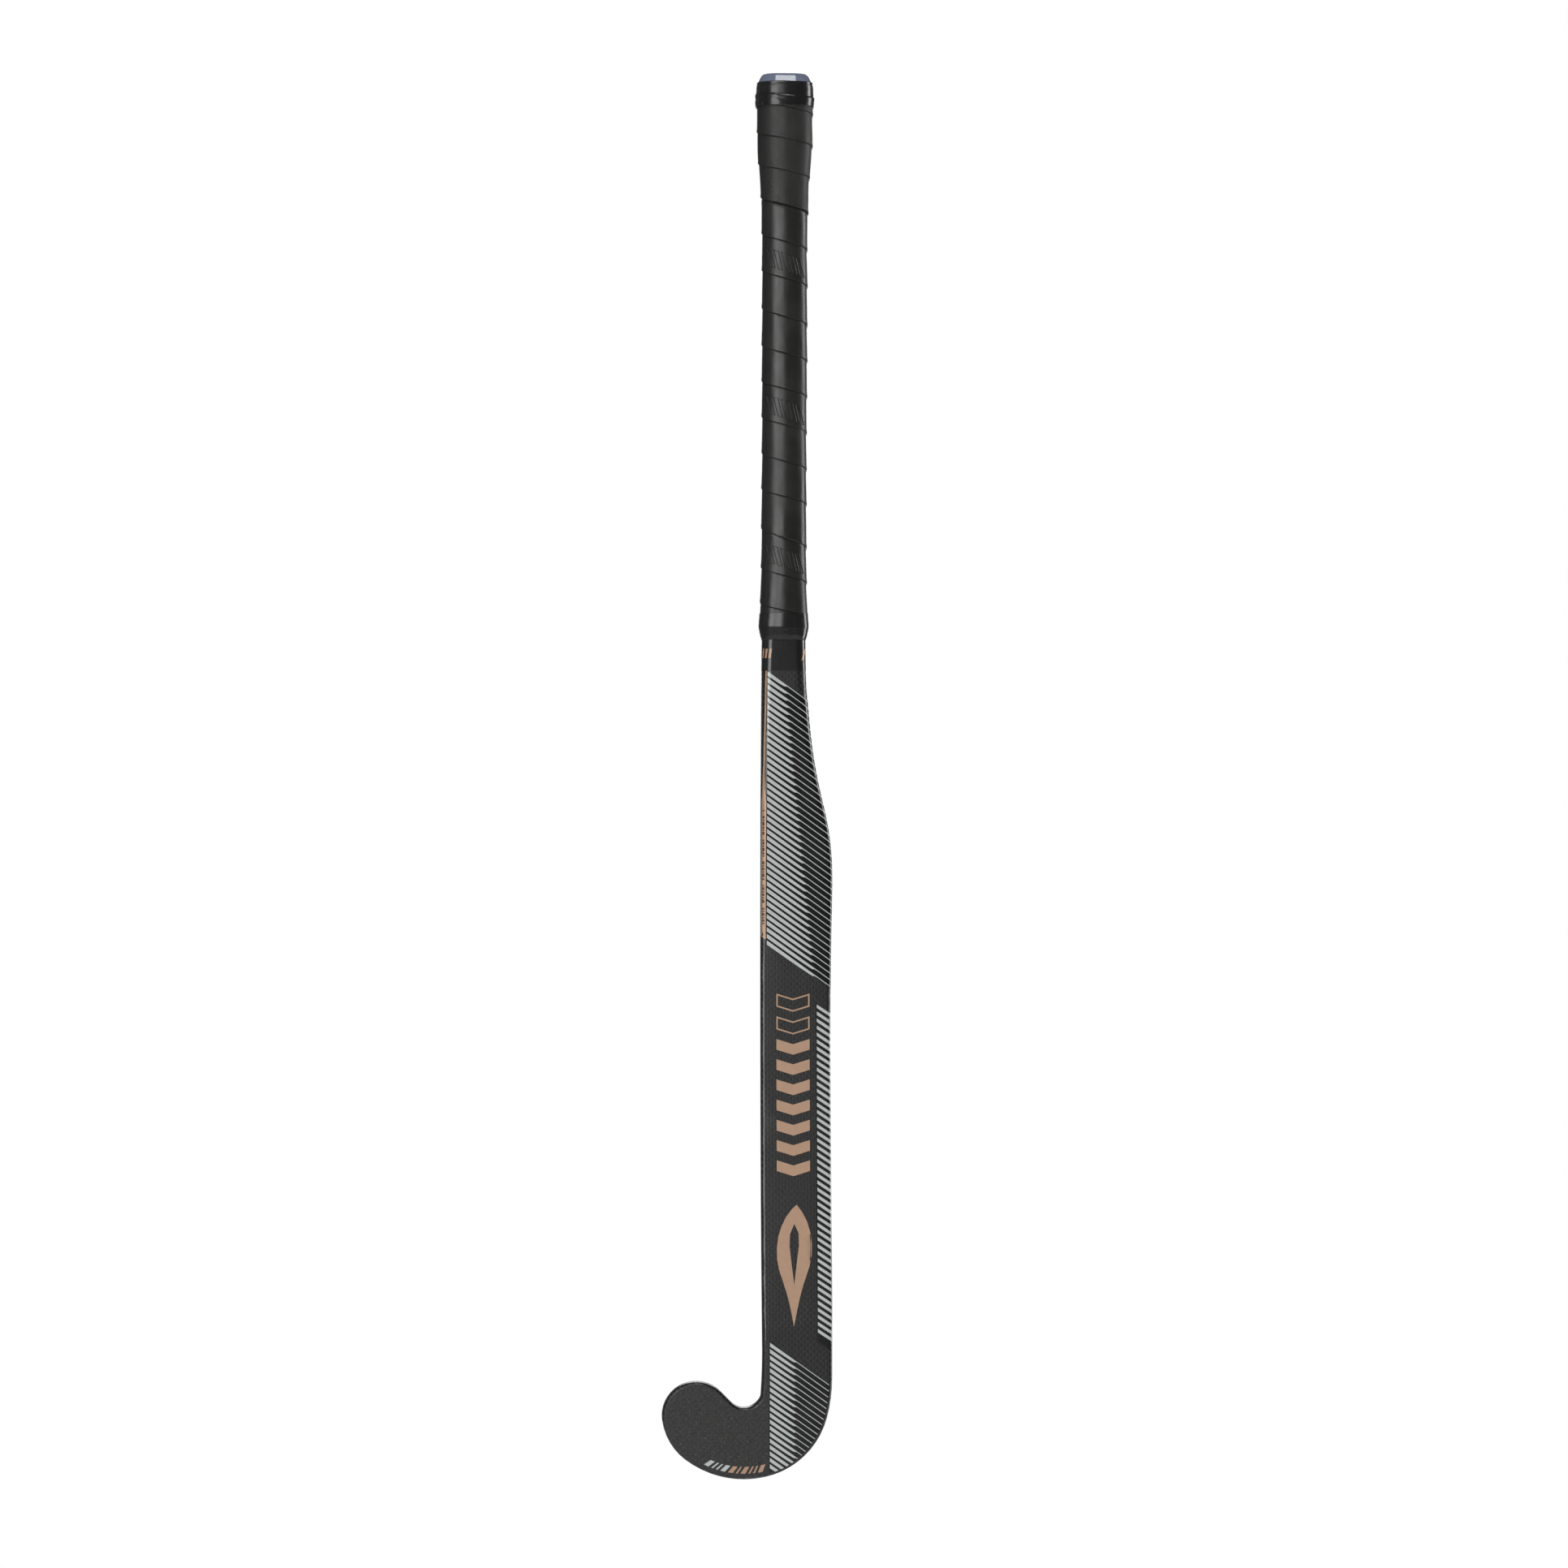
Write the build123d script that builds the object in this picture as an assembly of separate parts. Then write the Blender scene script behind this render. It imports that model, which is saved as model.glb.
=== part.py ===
"""Field hockey stick, 36.5 inch, hollow composite moulding with a wrapped handle.

Millimetres. +Z runs up the shaft to the handle end, the flat playing face looks along -Y, and the toe of the
hook points along -X. The origin is on the handle axis, where the upper hand closes round the grip.
All shapes are first drawn above a floor at the lowest point of the hook, then lowered to that origin.
"""

import math
import os
from collections import namedtuple

from build123d import *

# ---- driving dimensions ------------------------------------------------------------------------------
LENGTH = 927.0  # 36.5 inch, lowest point of the hook to the top of the end cap
HAND_HEIGHT = 800.0  # floor to the origin, the middle of the upper hand
BOW = 18.5  # how far the playing face hollows between head and handle
HANDLE_SET_BACK = 5.0  # the bare tube's front at the handle end, behind the face plane

# Hook outline, seen from the playing face: tangent arcs (radius, degrees turned).
JOIN_Z = 84.0  # the hook's straight-sided part meets the shaft here
OUTER_X = 31.8  # heel side of the shaft at the join
HEEL_START_Z = 66.0
OUTER_ARCS = ((100.0, 15.0), (54.0, 62.6), (64.7, 49.8), (38.7, 44.5), (22.6, 143.4))
CROOK_LINE = 9.8  # straight run from the toe down into the crook
INNER_ARCS = ((12.0, 102.1), (7.0, 29.2), (382.0, 4.0))

# Section of the head: flat front, small front corners, long rounded back corners.
HEAD_DEPTH = 21.0
FRONT_CORNER = 2.5
BACK_CORNER = 12.0

# Laminate, from outside in.
FILM = 0.15  # transfers and coats, outside the moulding
CARBON = 1.4
GLASS = 1.0
ARAMID = 0.6
ARAMID_TOP = 205.0
WEB_X = 3.0
WEB = 1.6
CORE_TOP = 118.0  # the head's foam core ends here
WEB_TOP = 850.0

# Handle, from inside out, in heights above the floor.
TUBE_TOP = 915.0
PLUG_FOOT = 856.0
STEM_RADIUS = 6.0
STEM_LENGTH = 26.0
FLARE_FOOT = 838.0
FLARE_RISE = (846.0, 882.0)  # between these heights it swells to its full thickness
FLARE_START = 0.25
FLARE_FULL = 2.55
BACKING = 0.3
GRIP = 1.4
GRIP_FOOT = 560.0
RIB_FOOT = 842.0  # the ribbed tape's lower edge, where the smooth tape runs under it
RIBBED = 1.6
TAPE = 0.7
TAPE_FOOT = 905.6
TAPE_TOP = 921.0
BAND = 0.5
BAND_TOP = 571.0
BAND_FULL = 562.0
BAND_FOOT = 553.5
COLLAR_FOOT = 533.0
CAP_TAPER = 3.1

# Shaft sections by height: crook side and heel side of the outline, depth, and the corner sizes.
Section = namedtuple("Section", "z crook heel depth corner run rise")
SHAFT = (
    Section(84.0, -14.2, 31.8, 21.0, 2.5, 12.0, 12.0),
    Section(105.0, -14.4, 31.8, 21.0, 2.5, 14.0, 12.0),
    Section(160.0, -14.8, 31.6, 20.6, 2.5, 18.0, 12.0),
    Section(240.0, -14.9, 31.4, 20.2, 2.5, 18.0, 12.0),
    Section(330.0, -14.9, 31.5, 20.2, 2.6, 18.0, 12.0),
    Section(375.0, -14.9, 32.2, 20.5, 2.8, 18.0, 12.2),
    Section(400.0, -14.9, 32.4, 20.8, 3.0, 17.6, 12.3),
    Section(418.0, -14.9, 31.3, 21.2, 3.3, 16.8, 12.4),
    Section(434.0, -14.9, 28.8, 21.6, 3.6, 15.8, 12.4),
    Section(455.0, -14.9, 24.0, 22.2, 4.0, 14.4, 12.5),
    Section(480.0, -14.8, 19.4, 23.0, 4.6, 12.8, 12.6),
    Section(505.0, -14.7, 16.6, 24.0, 5.4, 11.8, 12.7),
    Section(530.0, -14.6, 14.8, 24.8, 6.2, 11.4, 12.8),
    Section(556.0, -14.3, 14.3, 25.0, 7.0, 11.3, 12.4),
    Section(585.0, -13.4, 13.4, 24.4, 7.8, 10.8, 11.8),
    Section(620.0, -13.0, 13.0, 24.0, 8.4, 10.6, 11.2),
    Section(720.0, -13.0, 13.0, 24.0, 8.6, 10.6, 11.2),
    Section(812.0, -13.1, 13.1, 24.2, 8.6, 10.6, 11.2),
    Section(870.0, -13.4, 13.4, 24.8, 8.8, 10.9, 11.4),
    Section(915.0, -13.8, 13.8, 25.4, 9.0, 11.2, 11.6),
)
HANDLE_HEIGHTS = (540.0, 556.0, 585.0, 620.0, 720.0, 790.0, 820.0, 838.0, 846.0)
HANDLE_HEIGHTS += (855.0, 864.0, 873.0, 882.0, 898.0, 915.0, 930.0)

# Printed fields, as corner lists (x, z above the floor) seen from the playing face.
STRIPE_FIELD = ((-11.2, 532.8), (-11.2, 353.5), (33.5, 321.3), (33.5, 500.5))
SIDE_STRIP = ((-14.2, 448.0), (-14.2, 357.0), (-11.4, 360.0), (-11.4, 448.0))
MOTIF_FIELD = ((-5.2, 321.0), (-5.2, 100.0), (17.6, 100.0), (17.6, 321.0))
EDGE_FIELD = ((21.2, 313.4), (21.2, 91.2), (31.4, 84.2), (31.4, 306.4))
HEEL_FIELD = (
    (-10.0, 91.2), (-10.0, 3.9), (2.0, 4.4), (14.0, 11.8), (24.2, 28.4), (28.6, 50.0), (29.6, 63.1)
)
COAT_FIELD = ((-10.0, 91.2), (-90.0, 91.2), (-90.0, -5.0), (-10.0, -5.0))
MARK_CENTRE = (-26.1, 64.5)
MARK_RADII = (55.6, 60.8)
MARK_ANGLES = (243.5, 285.5)
FILM_DEPTH = 6.0  # how far a printed film may run round a front corner
FACE_DEPTH = 1.2
COAT_DEPTH = 0.05  # the rough coat ends on the flat, short of the rounded rim


# ---- helpers -----------------------------------------------------------------------------------------
def face_line(z):
    """Where the front of the bare moulding lies, in Y, at height z."""
    along = min(max((z - JOIN_Z) / (TUBE_TOP - JOIN_Z), 0.0), 1.0)
    hollow = along**2 * (1 - along) ** 4 / ((1 / 3) ** 2 * (2 / 3) ** 4)
    return BOW * hollow + HANDLE_SET_BACK * along**2 * (3 - 2 * along)


def between(z):
    """The shaft's section at height z, on straight lines between the listed ones."""
    if z >= SHAFT[-1].z:
        return Section(z, *SHAFT[-1][1:])
    for low, high in zip(SHAFT, SHAFT[1:]):
        if low.z <= z <= high.z:
            share = (z - low.z) / (high.z - low.z)
            return Section(*(a + share * (b - a) for a, b in zip(low, high)))
    raise ValueError(f"no shaft section at {z}")


def quarter(centre, run, rise, start):
    """A quarter turn from the start angle: a circle's where both radii agree, otherwise an ellipse's."""
    if math.isclose(run, rise):
        return CenterArc(centre, run, start, 90)
    return EllipticalCenterArc(centre, run, rise, start, arc_size=90)


def ring(sec, grow=0.0):
    """The closed section at its height, grown outwards by grow (or inwards where negative)."""
    crook = sec.crook - grow
    heel = sec.heel + grow
    front = face_line(sec.z) - grow
    back = face_line(sec.z) + sec.depth + grow
    corner = max(sec.corner + grow, 0.6)
    run = sec.run + grow
    rise = sec.rise + grow
    edges = [
        Line((crook + corner, front), (heel - corner, front)),
        CenterArc((heel - corner, front + corner), corner, -90, 90),
        Line((heel, front + corner), (heel, back - rise)),
        quarter((heel - run, back - rise), run, rise, 0),
        Line((heel - run, back), (crook + run, back)),
        quarter((crook + run, back - rise), run, rise, 90),
        Line((crook, back - rise), (crook, front + corner)),
        CenterArc((crook + corner, front + corner), corner, 180, 90),
    ]
    return Pos(0, 0, sec.z) * make_face(edges)


def slab(low, high):
    """A block that keeps only what lies between two heights."""
    return Pos(0, 0, (low + high) / 2) * Box(400, 400, high - low)


def arc_point(x, z, heading, radius, degrees, side):
    """The point reached after turning by degrees on a circle, to the left (1) or right (-1)."""
    start = math.radians(heading - side * 90)
    end = math.radians(heading - side * 90 + side * degrees)
    return x + radius * (math.cos(end) - math.cos(start)), z + radius * (math.sin(end) - math.sin(start))


def hook_outline(inset=0.0):
    """The hook's outline as a face in the XZ plane, drawn inside the moulding by inset."""
    x, z, heading = OUTER_X - inset, JOIN_Z, -90.0
    edges = [Line((x, 0, z), (x, 0, HEEL_START_Z))]
    z = HEEL_START_Z
    turns = [(radius - inset, degrees, -1) for radius, degrees in OUTER_ARCS]
    turns += [(None, CROOK_LINE, 0)]
    turns += [(radius + inset, degrees, 1) for radius, degrees in INNER_ARCS]
    for radius, amount, side in turns:
        if side == 0:
            end_x = x + amount * math.cos(math.radians(heading))
            end_z = z + amount * math.sin(math.radians(heading))
            edges.append(Line((x, 0, z), (end_x, 0, end_z)))
        else:
            mid_x, mid_z = arc_point(x, z, heading, radius, amount / 2, side)
            end_x, end_z = arc_point(x, z, heading, radius, amount, side)
            edges.append(ThreePointArc((x, 0, z), (mid_x, 0, mid_z), (end_x, 0, end_z)))
            heading += side * amount
        x, z = end_x, end_z
    crook_x = SHAFT[0].crook + inset
    edges.append(Line((x, 0, z), (crook_x, 0, JOIN_Z)))
    edges.append(Line((crook_x, 0, JOIN_Z), (OUTER_X - inset, 0, JOIN_Z)))
    return make_face(edges)


def hook_body(inset=0.0):
    """The hook below the join: flat playing face, small front corners, rounded back."""
    depth = HEAD_DEPTH - 2 * inset
    block = Pos(0, inset, 0) * extrude(hook_outline(inset), depth, dir=(0, 1, 0))
    rims = block.edges().filter_by(lambda e: e.bounding_box().size.Y < 0.01)
    rims = rims.filter_by(lambda e: e.center().Z < JOIN_Z - 0.01)
    front = [e for e in rims if e.center().Y < inset + 0.01]
    back = [e for e in rims if e.center().Y > inset + 0.01]
    block = fillet(front, max(FRONT_CORNER - inset, 0.6))
    back_points = [e.center() for e in back]
    back = [e for e in block.edges() if any((e.center() - p).length < 0.01 for p in back_points)]
    return fillet(back, BACK_CORNER - inset)


def moulding(grow=0.0):
    """The whole moulded tube and hook as one filled body, grown outwards by grow."""
    shaft = loft([ring(sec, grow) for sec in SHAFT])
    return hook_body(-grow).fuse(shaft, tol=0.001)


def flare(z):
    """How thick the build-up under the grip is at height z."""
    if z < FLARE_FOOT:
        return 0.0
    low, high = FLARE_RISE
    share = min(max((z - low) / (high - low), 0.0), 1.0)
    return FLARE_START + (FLARE_FULL - FLARE_START) * share**2 * (3 - 2 * share)


def handle_body(extra):
    """A filled body round the handle, extra millimetres outside the tube and its flare."""
    return loft([ring(between(z), extra + flare(z)) for z in HANDLE_HEIGHTS])


def front_zone(depth):
    """Everything within depth millimetres behind the line of the playing face."""
    def strip(z):
        return Pos(0, face_line(z) + depth / 2 - 2, z) * Rectangle(300, depth + 4)

    low = Pos(0, depth / 2 - 2, 0) * Box(400, depth + 4, 400)
    return (slab(-10, JOIN_Z) & low) + loft([strip(sec.z) for sec in SHAFT])


def prism(corners):
    """A block through the whole depth, cut to the corners."""
    face = make_face(Polyline([(x, -20, z) for x, z in corners], close=True))
    return extrude(face, 80, dir=(0, 1, 0))


def mark_band():
    """The curved field along the sole that carries the small marks."""
    start, end = MARK_ANGLES
    steps = 16
    turns = [math.radians(start + (end - start) * i / steps) for i in range(steps + 1)]
    inner, outer = MARK_RADII
    middle_x, middle_z = MARK_CENTRE
    low = [(middle_x + outer * math.cos(t), middle_z + outer * math.sin(t)) for t in turns]
    high = [(middle_x + inner * math.cos(t), middle_z + inner * math.sin(t)) for t in reversed(turns)]
    return prism(low + high)


# ---- moulded tube and hook ---------------------------------------------------------------------------
handle_y = face_line(HAND_HEIGHT) + between(HAND_HEIGHT).depth / 2
outside = moulding()
under_carbon = moulding(-CARBON)
under_glass = moulding(-CARBON - GLASS)
under_aramid = moulding(-CARBON - GLASS - ARAMID)

parts = {}
parts["carbon_shell"] = outside - under_carbon
parts["glass_fibre_liner"] = under_carbon - under_glass
parts["aramid_hook_ply"] = (under_glass - under_aramid) & slab(-10, ARAMID_TOP)
parts["head_foam_core"] = under_aramid & slab(-10, CORE_TOP)
web_slab = Pos(WEB_X, 0, (CORE_TOP + WEB_TOP) / 2) * Box(WEB, 400, WEB_TOP - CORE_TOP)
parts["shaft_web"] = (under_glass & web_slab) - parts["aramid_hook_ply"]
stem = Pos(0, handle_y, TUBE_TOP - STEM_LENGTH / 2) * Cylinder(STEM_RADIUS, STEM_LENGTH)
parts["handle_plug"] = (under_glass & slab(PLUG_FOOT, TUBE_TOP)) - stem

# ---- handle wrapping ---------------------------------------------------------------------------------
on_flare = handle_body(0.0)
on_backing = handle_body(BACKING)
on_grip = handle_body(BACKING + GRIP)
on_ribs = handle_body(BACKING + RIBBED)
on_tape = handle_body(BACKING + RIBBED + TAPE)
parts["butt_flare"] = (on_flare & slab(FLARE_FOOT, TUBE_TOP)) - outside
parts["grip_backing"] = (on_backing & slab(GRIP_FOOT, TUBE_TOP)) - outside - parts["butt_flare"]
parts["smooth_grip"] = (on_grip - on_backing) & slab(GRIP_FOOT, RIB_FOOT)
parts["ribbed_grip"] = (on_ribs - on_backing) & slab(RIB_FOOT, TUBE_TOP)
parts["top_tape"] = (on_tape - on_ribs) & slab(TAPE_FOOT, TAPE_TOP)
band_rings = (
    ring(between(BAND_FOOT), 0.3),
    ring(between(BAND_FULL), BACKING + GRIP + BAND),
    ring(between(BAND_TOP), BACKING + GRIP + BAND),
)
parts["lower_tape"] = loft(band_rings, ruled=True) - (on_grip & slab(GRIP_FOOT, RIB_FOOT)) - outside
cap_base = on_ribs & slab(TUBE_TOP, TAPE_TOP)
cap_sec = between(TAPE_TOP)
cap_grow = BACKING + RIBBED + FLARE_FULL
cap_rings = (
    ring(cap_sec, cap_grow),
    ring(cap_sec._replace(z=LENGTH - 1.6), cap_grow - 0.7 * CAP_TAPER),
    ring(cap_sec._replace(z=LENGTH), cap_grow - CAP_TAPER),
)
parts["end_cap"] = cap_base + loft(cap_rings, ruled=True) + stem

# ---- printed films and coats -------------------------------------------------------------------------
film = moulding(FILM) - outside
round_corner = film & front_zone(FILM_DEPTH)
on_face = film & front_zone(FACE_DEPTH)
marks = mark_band()
parts["collar_band"] = film & slab(COLLAR_FOOT, BAND_FOOT)
parts["upper_stripe_film"] = round_corner & prism(STRIPE_FIELD)
parts["side_strip_film"] = on_face & prism(SIDE_STRIP)
parts["motif_film"] = on_face & prism(MOTIF_FIELD)
parts["edge_stripe_film"] = on_face & prism(EDGE_FIELD)
parts["heel_stripe_film"] = on_face & prism(HEEL_FIELD)
parts["head_marks_film"] = on_face & marks
parts["grip_coat"] = (film & front_zone(COAT_DEPTH) & prism(COAT_FIELD)) - marks

# ---- lowered to the origin and written ---------------------------------------------------------------
os.makedirs("parts", exist_ok=True)
for name, shape in parts.items():
    placed = Pos(0, -handle_y, -HAND_HEIGHT) * shape
    solids = placed.solids()
    print(name, len(solids), [round(s.volume, 1) for s in solids])
    piece = solids[0] if len(solids) == 1 else Compound(children=list(solids))
    export_step(piece, f"parts/{name}.step")
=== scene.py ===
"""Looks of a field hockey stick: woven carbon hook and shaft, printed stripes, wrapped handle and end cap."""

import logging
import math
from dataclasses import dataclass, field
from enum import Enum
from typing import Callable, Optional, Sequence, Union

import bmesh
import bpy
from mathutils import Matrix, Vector, noise
from mathutils.bvhtree import BVHTree


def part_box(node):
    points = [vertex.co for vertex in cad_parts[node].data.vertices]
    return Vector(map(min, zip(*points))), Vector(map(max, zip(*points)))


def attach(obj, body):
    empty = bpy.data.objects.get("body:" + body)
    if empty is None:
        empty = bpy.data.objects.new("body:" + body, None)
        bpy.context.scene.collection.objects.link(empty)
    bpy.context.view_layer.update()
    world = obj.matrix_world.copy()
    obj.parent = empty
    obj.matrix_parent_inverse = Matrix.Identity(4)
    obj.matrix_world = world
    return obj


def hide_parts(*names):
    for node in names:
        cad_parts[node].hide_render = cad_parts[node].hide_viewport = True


logging.basicConfig(level=logging.INFO, format="%(name)s: %(message)s")
log = logging.getLogger("stick")

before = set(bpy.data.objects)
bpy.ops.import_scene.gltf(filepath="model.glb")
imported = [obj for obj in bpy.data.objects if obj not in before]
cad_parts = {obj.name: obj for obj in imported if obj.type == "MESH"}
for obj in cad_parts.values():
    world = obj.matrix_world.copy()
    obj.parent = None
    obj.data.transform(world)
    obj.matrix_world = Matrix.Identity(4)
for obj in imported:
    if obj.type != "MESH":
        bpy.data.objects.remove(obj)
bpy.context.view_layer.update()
MM = 0.001
FLOOR_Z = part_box("carbon_shell")[0][2]  # lowest point of the hook, from which the heights below are counted
FAR = 0.3  # search rays start this far from the handle's axis, in metres
CREEP = 0.1  # step of the searches for a print's end, in mm

Point = tuple[float, float]
Points = tuple[Point, ...]
Sheet = bmesh.types.BMesh


# ---- shader helpers ----


class Value:
    """A number or colour that nodes work out. Arithmetic on it adds Math nodes."""

    def __init__(self, kit: "Nodes", socket: bpy.types.NodeSocket) -> None:
        """Keeps the tree's helper and the socket."""
        self.kit = kit
        self.socket = socket

    def step(self, operation: str, *others: "Number") -> "Value":
        """Adds one Math node, with this value as its first term.

        Args:
            operation: what it does, such as MULTIPLY.
            others: its other terms.

        Returns:
            Its result.
        """
        return self.kit.add("Math", dict(enumerate((self, *others))), operation=operation)[0]

    def __add__(self, other: "Number") -> "Value":
        """Returns the sum."""
        return self.step("ADD", other)

    def __sub__(self, other: "Number") -> "Value":
        """Returns the difference."""
        return self.step("SUBTRACT", other)

    def __mul__(self, other: "Number") -> "Value":
        """Returns the product."""
        return self.step("MULTIPLY", other)

    def __truediv__(self, other: "Number") -> "Value":
        """Returns the quotient."""
        return self.step("DIVIDE", other)

    def pick(self, one: "Value", zero: "Value") -> "Value":
        """Returns the first value where this one is 1, and the second where it is 0."""
        return one * self + zero * self.step("MULTIPLY_ADD", -1.0, 1.0)

    def ramp(self, low: float, high: float, to: Point = (0.0, 1.0)) -> "Value":
        """Maps this value from one span to another, clamped.

        Args:
            low: where the span starts.
            high: where it ends.
            to: the new start and end.

        Returns:
            The mapped value.
        """
        wires = {"Value": self, "From Min": low, "From Max": high, "To Min": to[0], "To Max": to[1]}
        return self.kit.add("MapRange", wires, clamp=True)[0]


Number = Union[Value, float]


class Placed:
    """A node that stands in a tree, read by its outputs' names or numbers."""

    def __init__(self, kit: "Nodes", node: bpy.types.Node) -> None:
        """Keeps the tree's helper and the node."""
        self.kit = kit
        self.node = node

    def __getitem__(self, output: Union[str, int]) -> Value:
        """Returns one output."""
        return Value(self.kit, self.node.outputs[output])


class Nodes:
    """A thin hand on one node tree: adds nodes and wires them in one call."""

    def __init__(self, tree: bpy.types.NodeTree) -> None:
        """Keeps the tree."""
        self.tree = tree

    def add(self, kind: str, wires: Optional[dict] = None, **settings: object) -> Placed:
        """Adds a node, sets its properties and wires or fills its inputs.

        Args:
            kind: the node's type name, without the ShaderNode prefix where it has one.
            wires: input name or index to a value to link, or to a plain number or colour.
            settings: properties of the node itself.

        Returns:
            The new node.
        """
        node = self.tree.nodes.new(kind if kind.startswith("Node") else "ShaderNode" + kind)
        for key, value in settings.items():
            setattr(node, key, value)
        for key, value in (wires or {}).items():
            if isinstance(value, Value):
                self.tree.links.new(value.socket, node.inputs[key])
            else:
                node.inputs[key].default_value = value
        return Placed(self, node)

    def blend(self, factor: Value, first: object, second: object) -> Value:
        """Blends two colours.

        Args:
            factor: how much of the second, 0 to 1.
            first: a colour, plain or worked out.
            second: the other.

        Returns:
            The blended colour.
        """
        wires = {0: factor, 6: first, 7: second}  # a Mix node keeps its colours in these inputs
        return self.add("Mix", wires, data_type="RGBA", clamp_factor=True)[2]


class Effect:
    """A shader group that several finishes share, built the first time it is placed."""

    name: str = ""
    vectors: tuple[str, ...] = ("Vector",)
    numbers: dict[str, float] = {}

    def place(self, kit: Nodes, wires: dict) -> Placed:
        """Places the group in a material's tree.

        Args:
            kit: the tree's helper.
            wires: what goes into the group's inputs.

        Returns:
            The group's node.
        """
        tree = bpy.data.node_groups.get(self.name) or self.build()
        return kit.add("Group", wires, node_tree=tree)

    def build(self) -> bpy.types.NodeTree:
        """Makes the group: its inputs, the work between, and its outputs.

        Returns:
            The finished group.
        """
        tree = bpy.data.node_groups.new(self.name, "ShaderNodeTree")
        for label in self.vectors:
            tree.interface.new_socket(label, in_out="INPUT", socket_type="NodeSocketVector")
        for label, default in self.numbers.items():
            socket = tree.interface.new_socket(label, in_out="INPUT", socket_type="NodeSocketFloat")
            socket.default_value = default
        kit = Nodes(tree)
        values = self.work(kit, kit.add("NodeGroupInput"))
        for label in values:
            tree.interface.new_socket(label, in_out="OUTPUT", socket_type="NodeSocketFloat")
        kit.add("NodeGroupOutput", values)
        return tree

    def work(self, kit: Nodes, takes: Placed) -> dict[str, Value]:
        """Adds the nodes between the group's inputs and its outputs.

        Args:
            kit: the group's tree helper.
            takes: its input node.

        Returns:
            Output name to value.
        """
        raise NotImplementedError


class Grain(Effect):
    """Fine mottling: a value that wanders, and the same at a coarser scale."""

    name = "surface_grain"
    numbers = {"Fine Scale": 900.0, "Broad Scale": 40.0}

    def work(self, kit: Nodes, takes: Placed) -> dict[str, Value]:
        """Puts out Fine, Broad and Speck; see Effect.work for the rest."""
        at, small, wide = takes["Vector"], takes["Fine Scale"], takes["Broad Scale"]
        return {
            "Fine": kit.add("TexNoise", {"Vector": at, "Scale": small, "Detail": 3.0, "Roughness": 0.6})[0],
            "Broad": kit.add("TexNoise", {"Vector": at, "Scale": wide, "Detail": 4.0, "Roughness": 0.55})[0],
            "Speck": kit.add("TexVoronoi", {"Vector": at, "Scale": small, "Randomness": 1.0})["Distance"],
        }


class Weave(Effect):
    """Plain-weave cloth on Object coordinates, laid on whichever side a surface faces."""

    name = "plain_weave"
    vectors = ("Vector", "Facing")
    numbers = {"Tow": 0.0021}
    side_facing = 0.75  # a surface that faces sideways more than this takes the cloth from the side
    threads = 7  # fibre lines in a tow

    def work(self, kit: Nodes, takes: Placed) -> dict[str, Value]:
        """Puts out Warp, which is 1 on the tows along, Crown and Fibre; see Effect.work for the rest."""
        place = kit.add("SeparateXYZ", {0: takes["Vector"]})
        facing = kit.add("SeparateXYZ", {0: takes["Facing"]})
        side = facing[0].step("ABSOLUTE").step("GREATER_THAN", self.side_facing)
        u = (side.pick(place[1], place[0]) + 1.0) / takes["Tow"]
        v = (place[2] + 2.0) / takes["Tow"]
        warp = (u.step("FLOOR") + v.step("FLOOR")).step("MODULO", 2.0).step("GREATER_THAN", 0.5)
        bow_u, bow_v = ((way.step("FRACT") * math.pi).step("SINE") for way in (u, v))
        thread_u, thread_v = ((way * (2 * math.pi * self.threads)).step("SINE") for way in (u, v))
        crown_warp = bow_u.step("POWER", 0.4) * (bow_v * 0.6 + 0.4)
        crown_weft = bow_v.step("POWER", 0.4) * (bow_u * 0.6 + 0.4)
        return {"Warp": warp, "Crown": warp.pick(crown_warp, crown_weft), "Fibre": warp.pick(thread_u, thread_v)}


class Creases(Effect):
    """Long soft folds in stretched tape."""

    name = "tape_creases"
    numbers = {"Along": 60.0, "Across": 260.0}

    def work(self, kit: Nodes, takes: Placed) -> dict[str, Value]:
        """Puts out Fold and Fine; see Effect.work for the rest."""
        stretch = kit.add("CombineXYZ", {0: takes["Along"], 1: takes["Across"], 2: 1.0})
        at = kit.add("VectorMath", {0: takes["Vector"], 1: stretch[0]}, operation="MULTIPLY")[0]
        fold = kit.add("TexNoise", {"Vector": at, "Scale": 1.0, "Detail": 2.0, "Distortion": 0.6})
        fine = kit.add("TexNoise", {"Vector": at, "Scale": 5.0, "Detail": 3.0, "Distortion": 0.3})
        return {"Fold": (fold[0] - 0.5).step("ABSOLUTE").ramp(0.0, 0.12, (1.0, 0.0)), "Fine": fine[0]}


# ---- finishes ----


class Coords(Enum):
    """What a pattern is laid on or turned by."""

    OBJECT = "Object"
    NORMAL = "Normal"
    UV = "UV"


def rgba(colour: Sequence[float], by: float = 1.0) -> tuple[float, float, float, float]:
    """Returns a colour with full alpha, made lighter or darker by a factor."""
    red, green, blue = (min(1.0, part * by) for part in colour)
    return red, green, blue, 1.0


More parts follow.
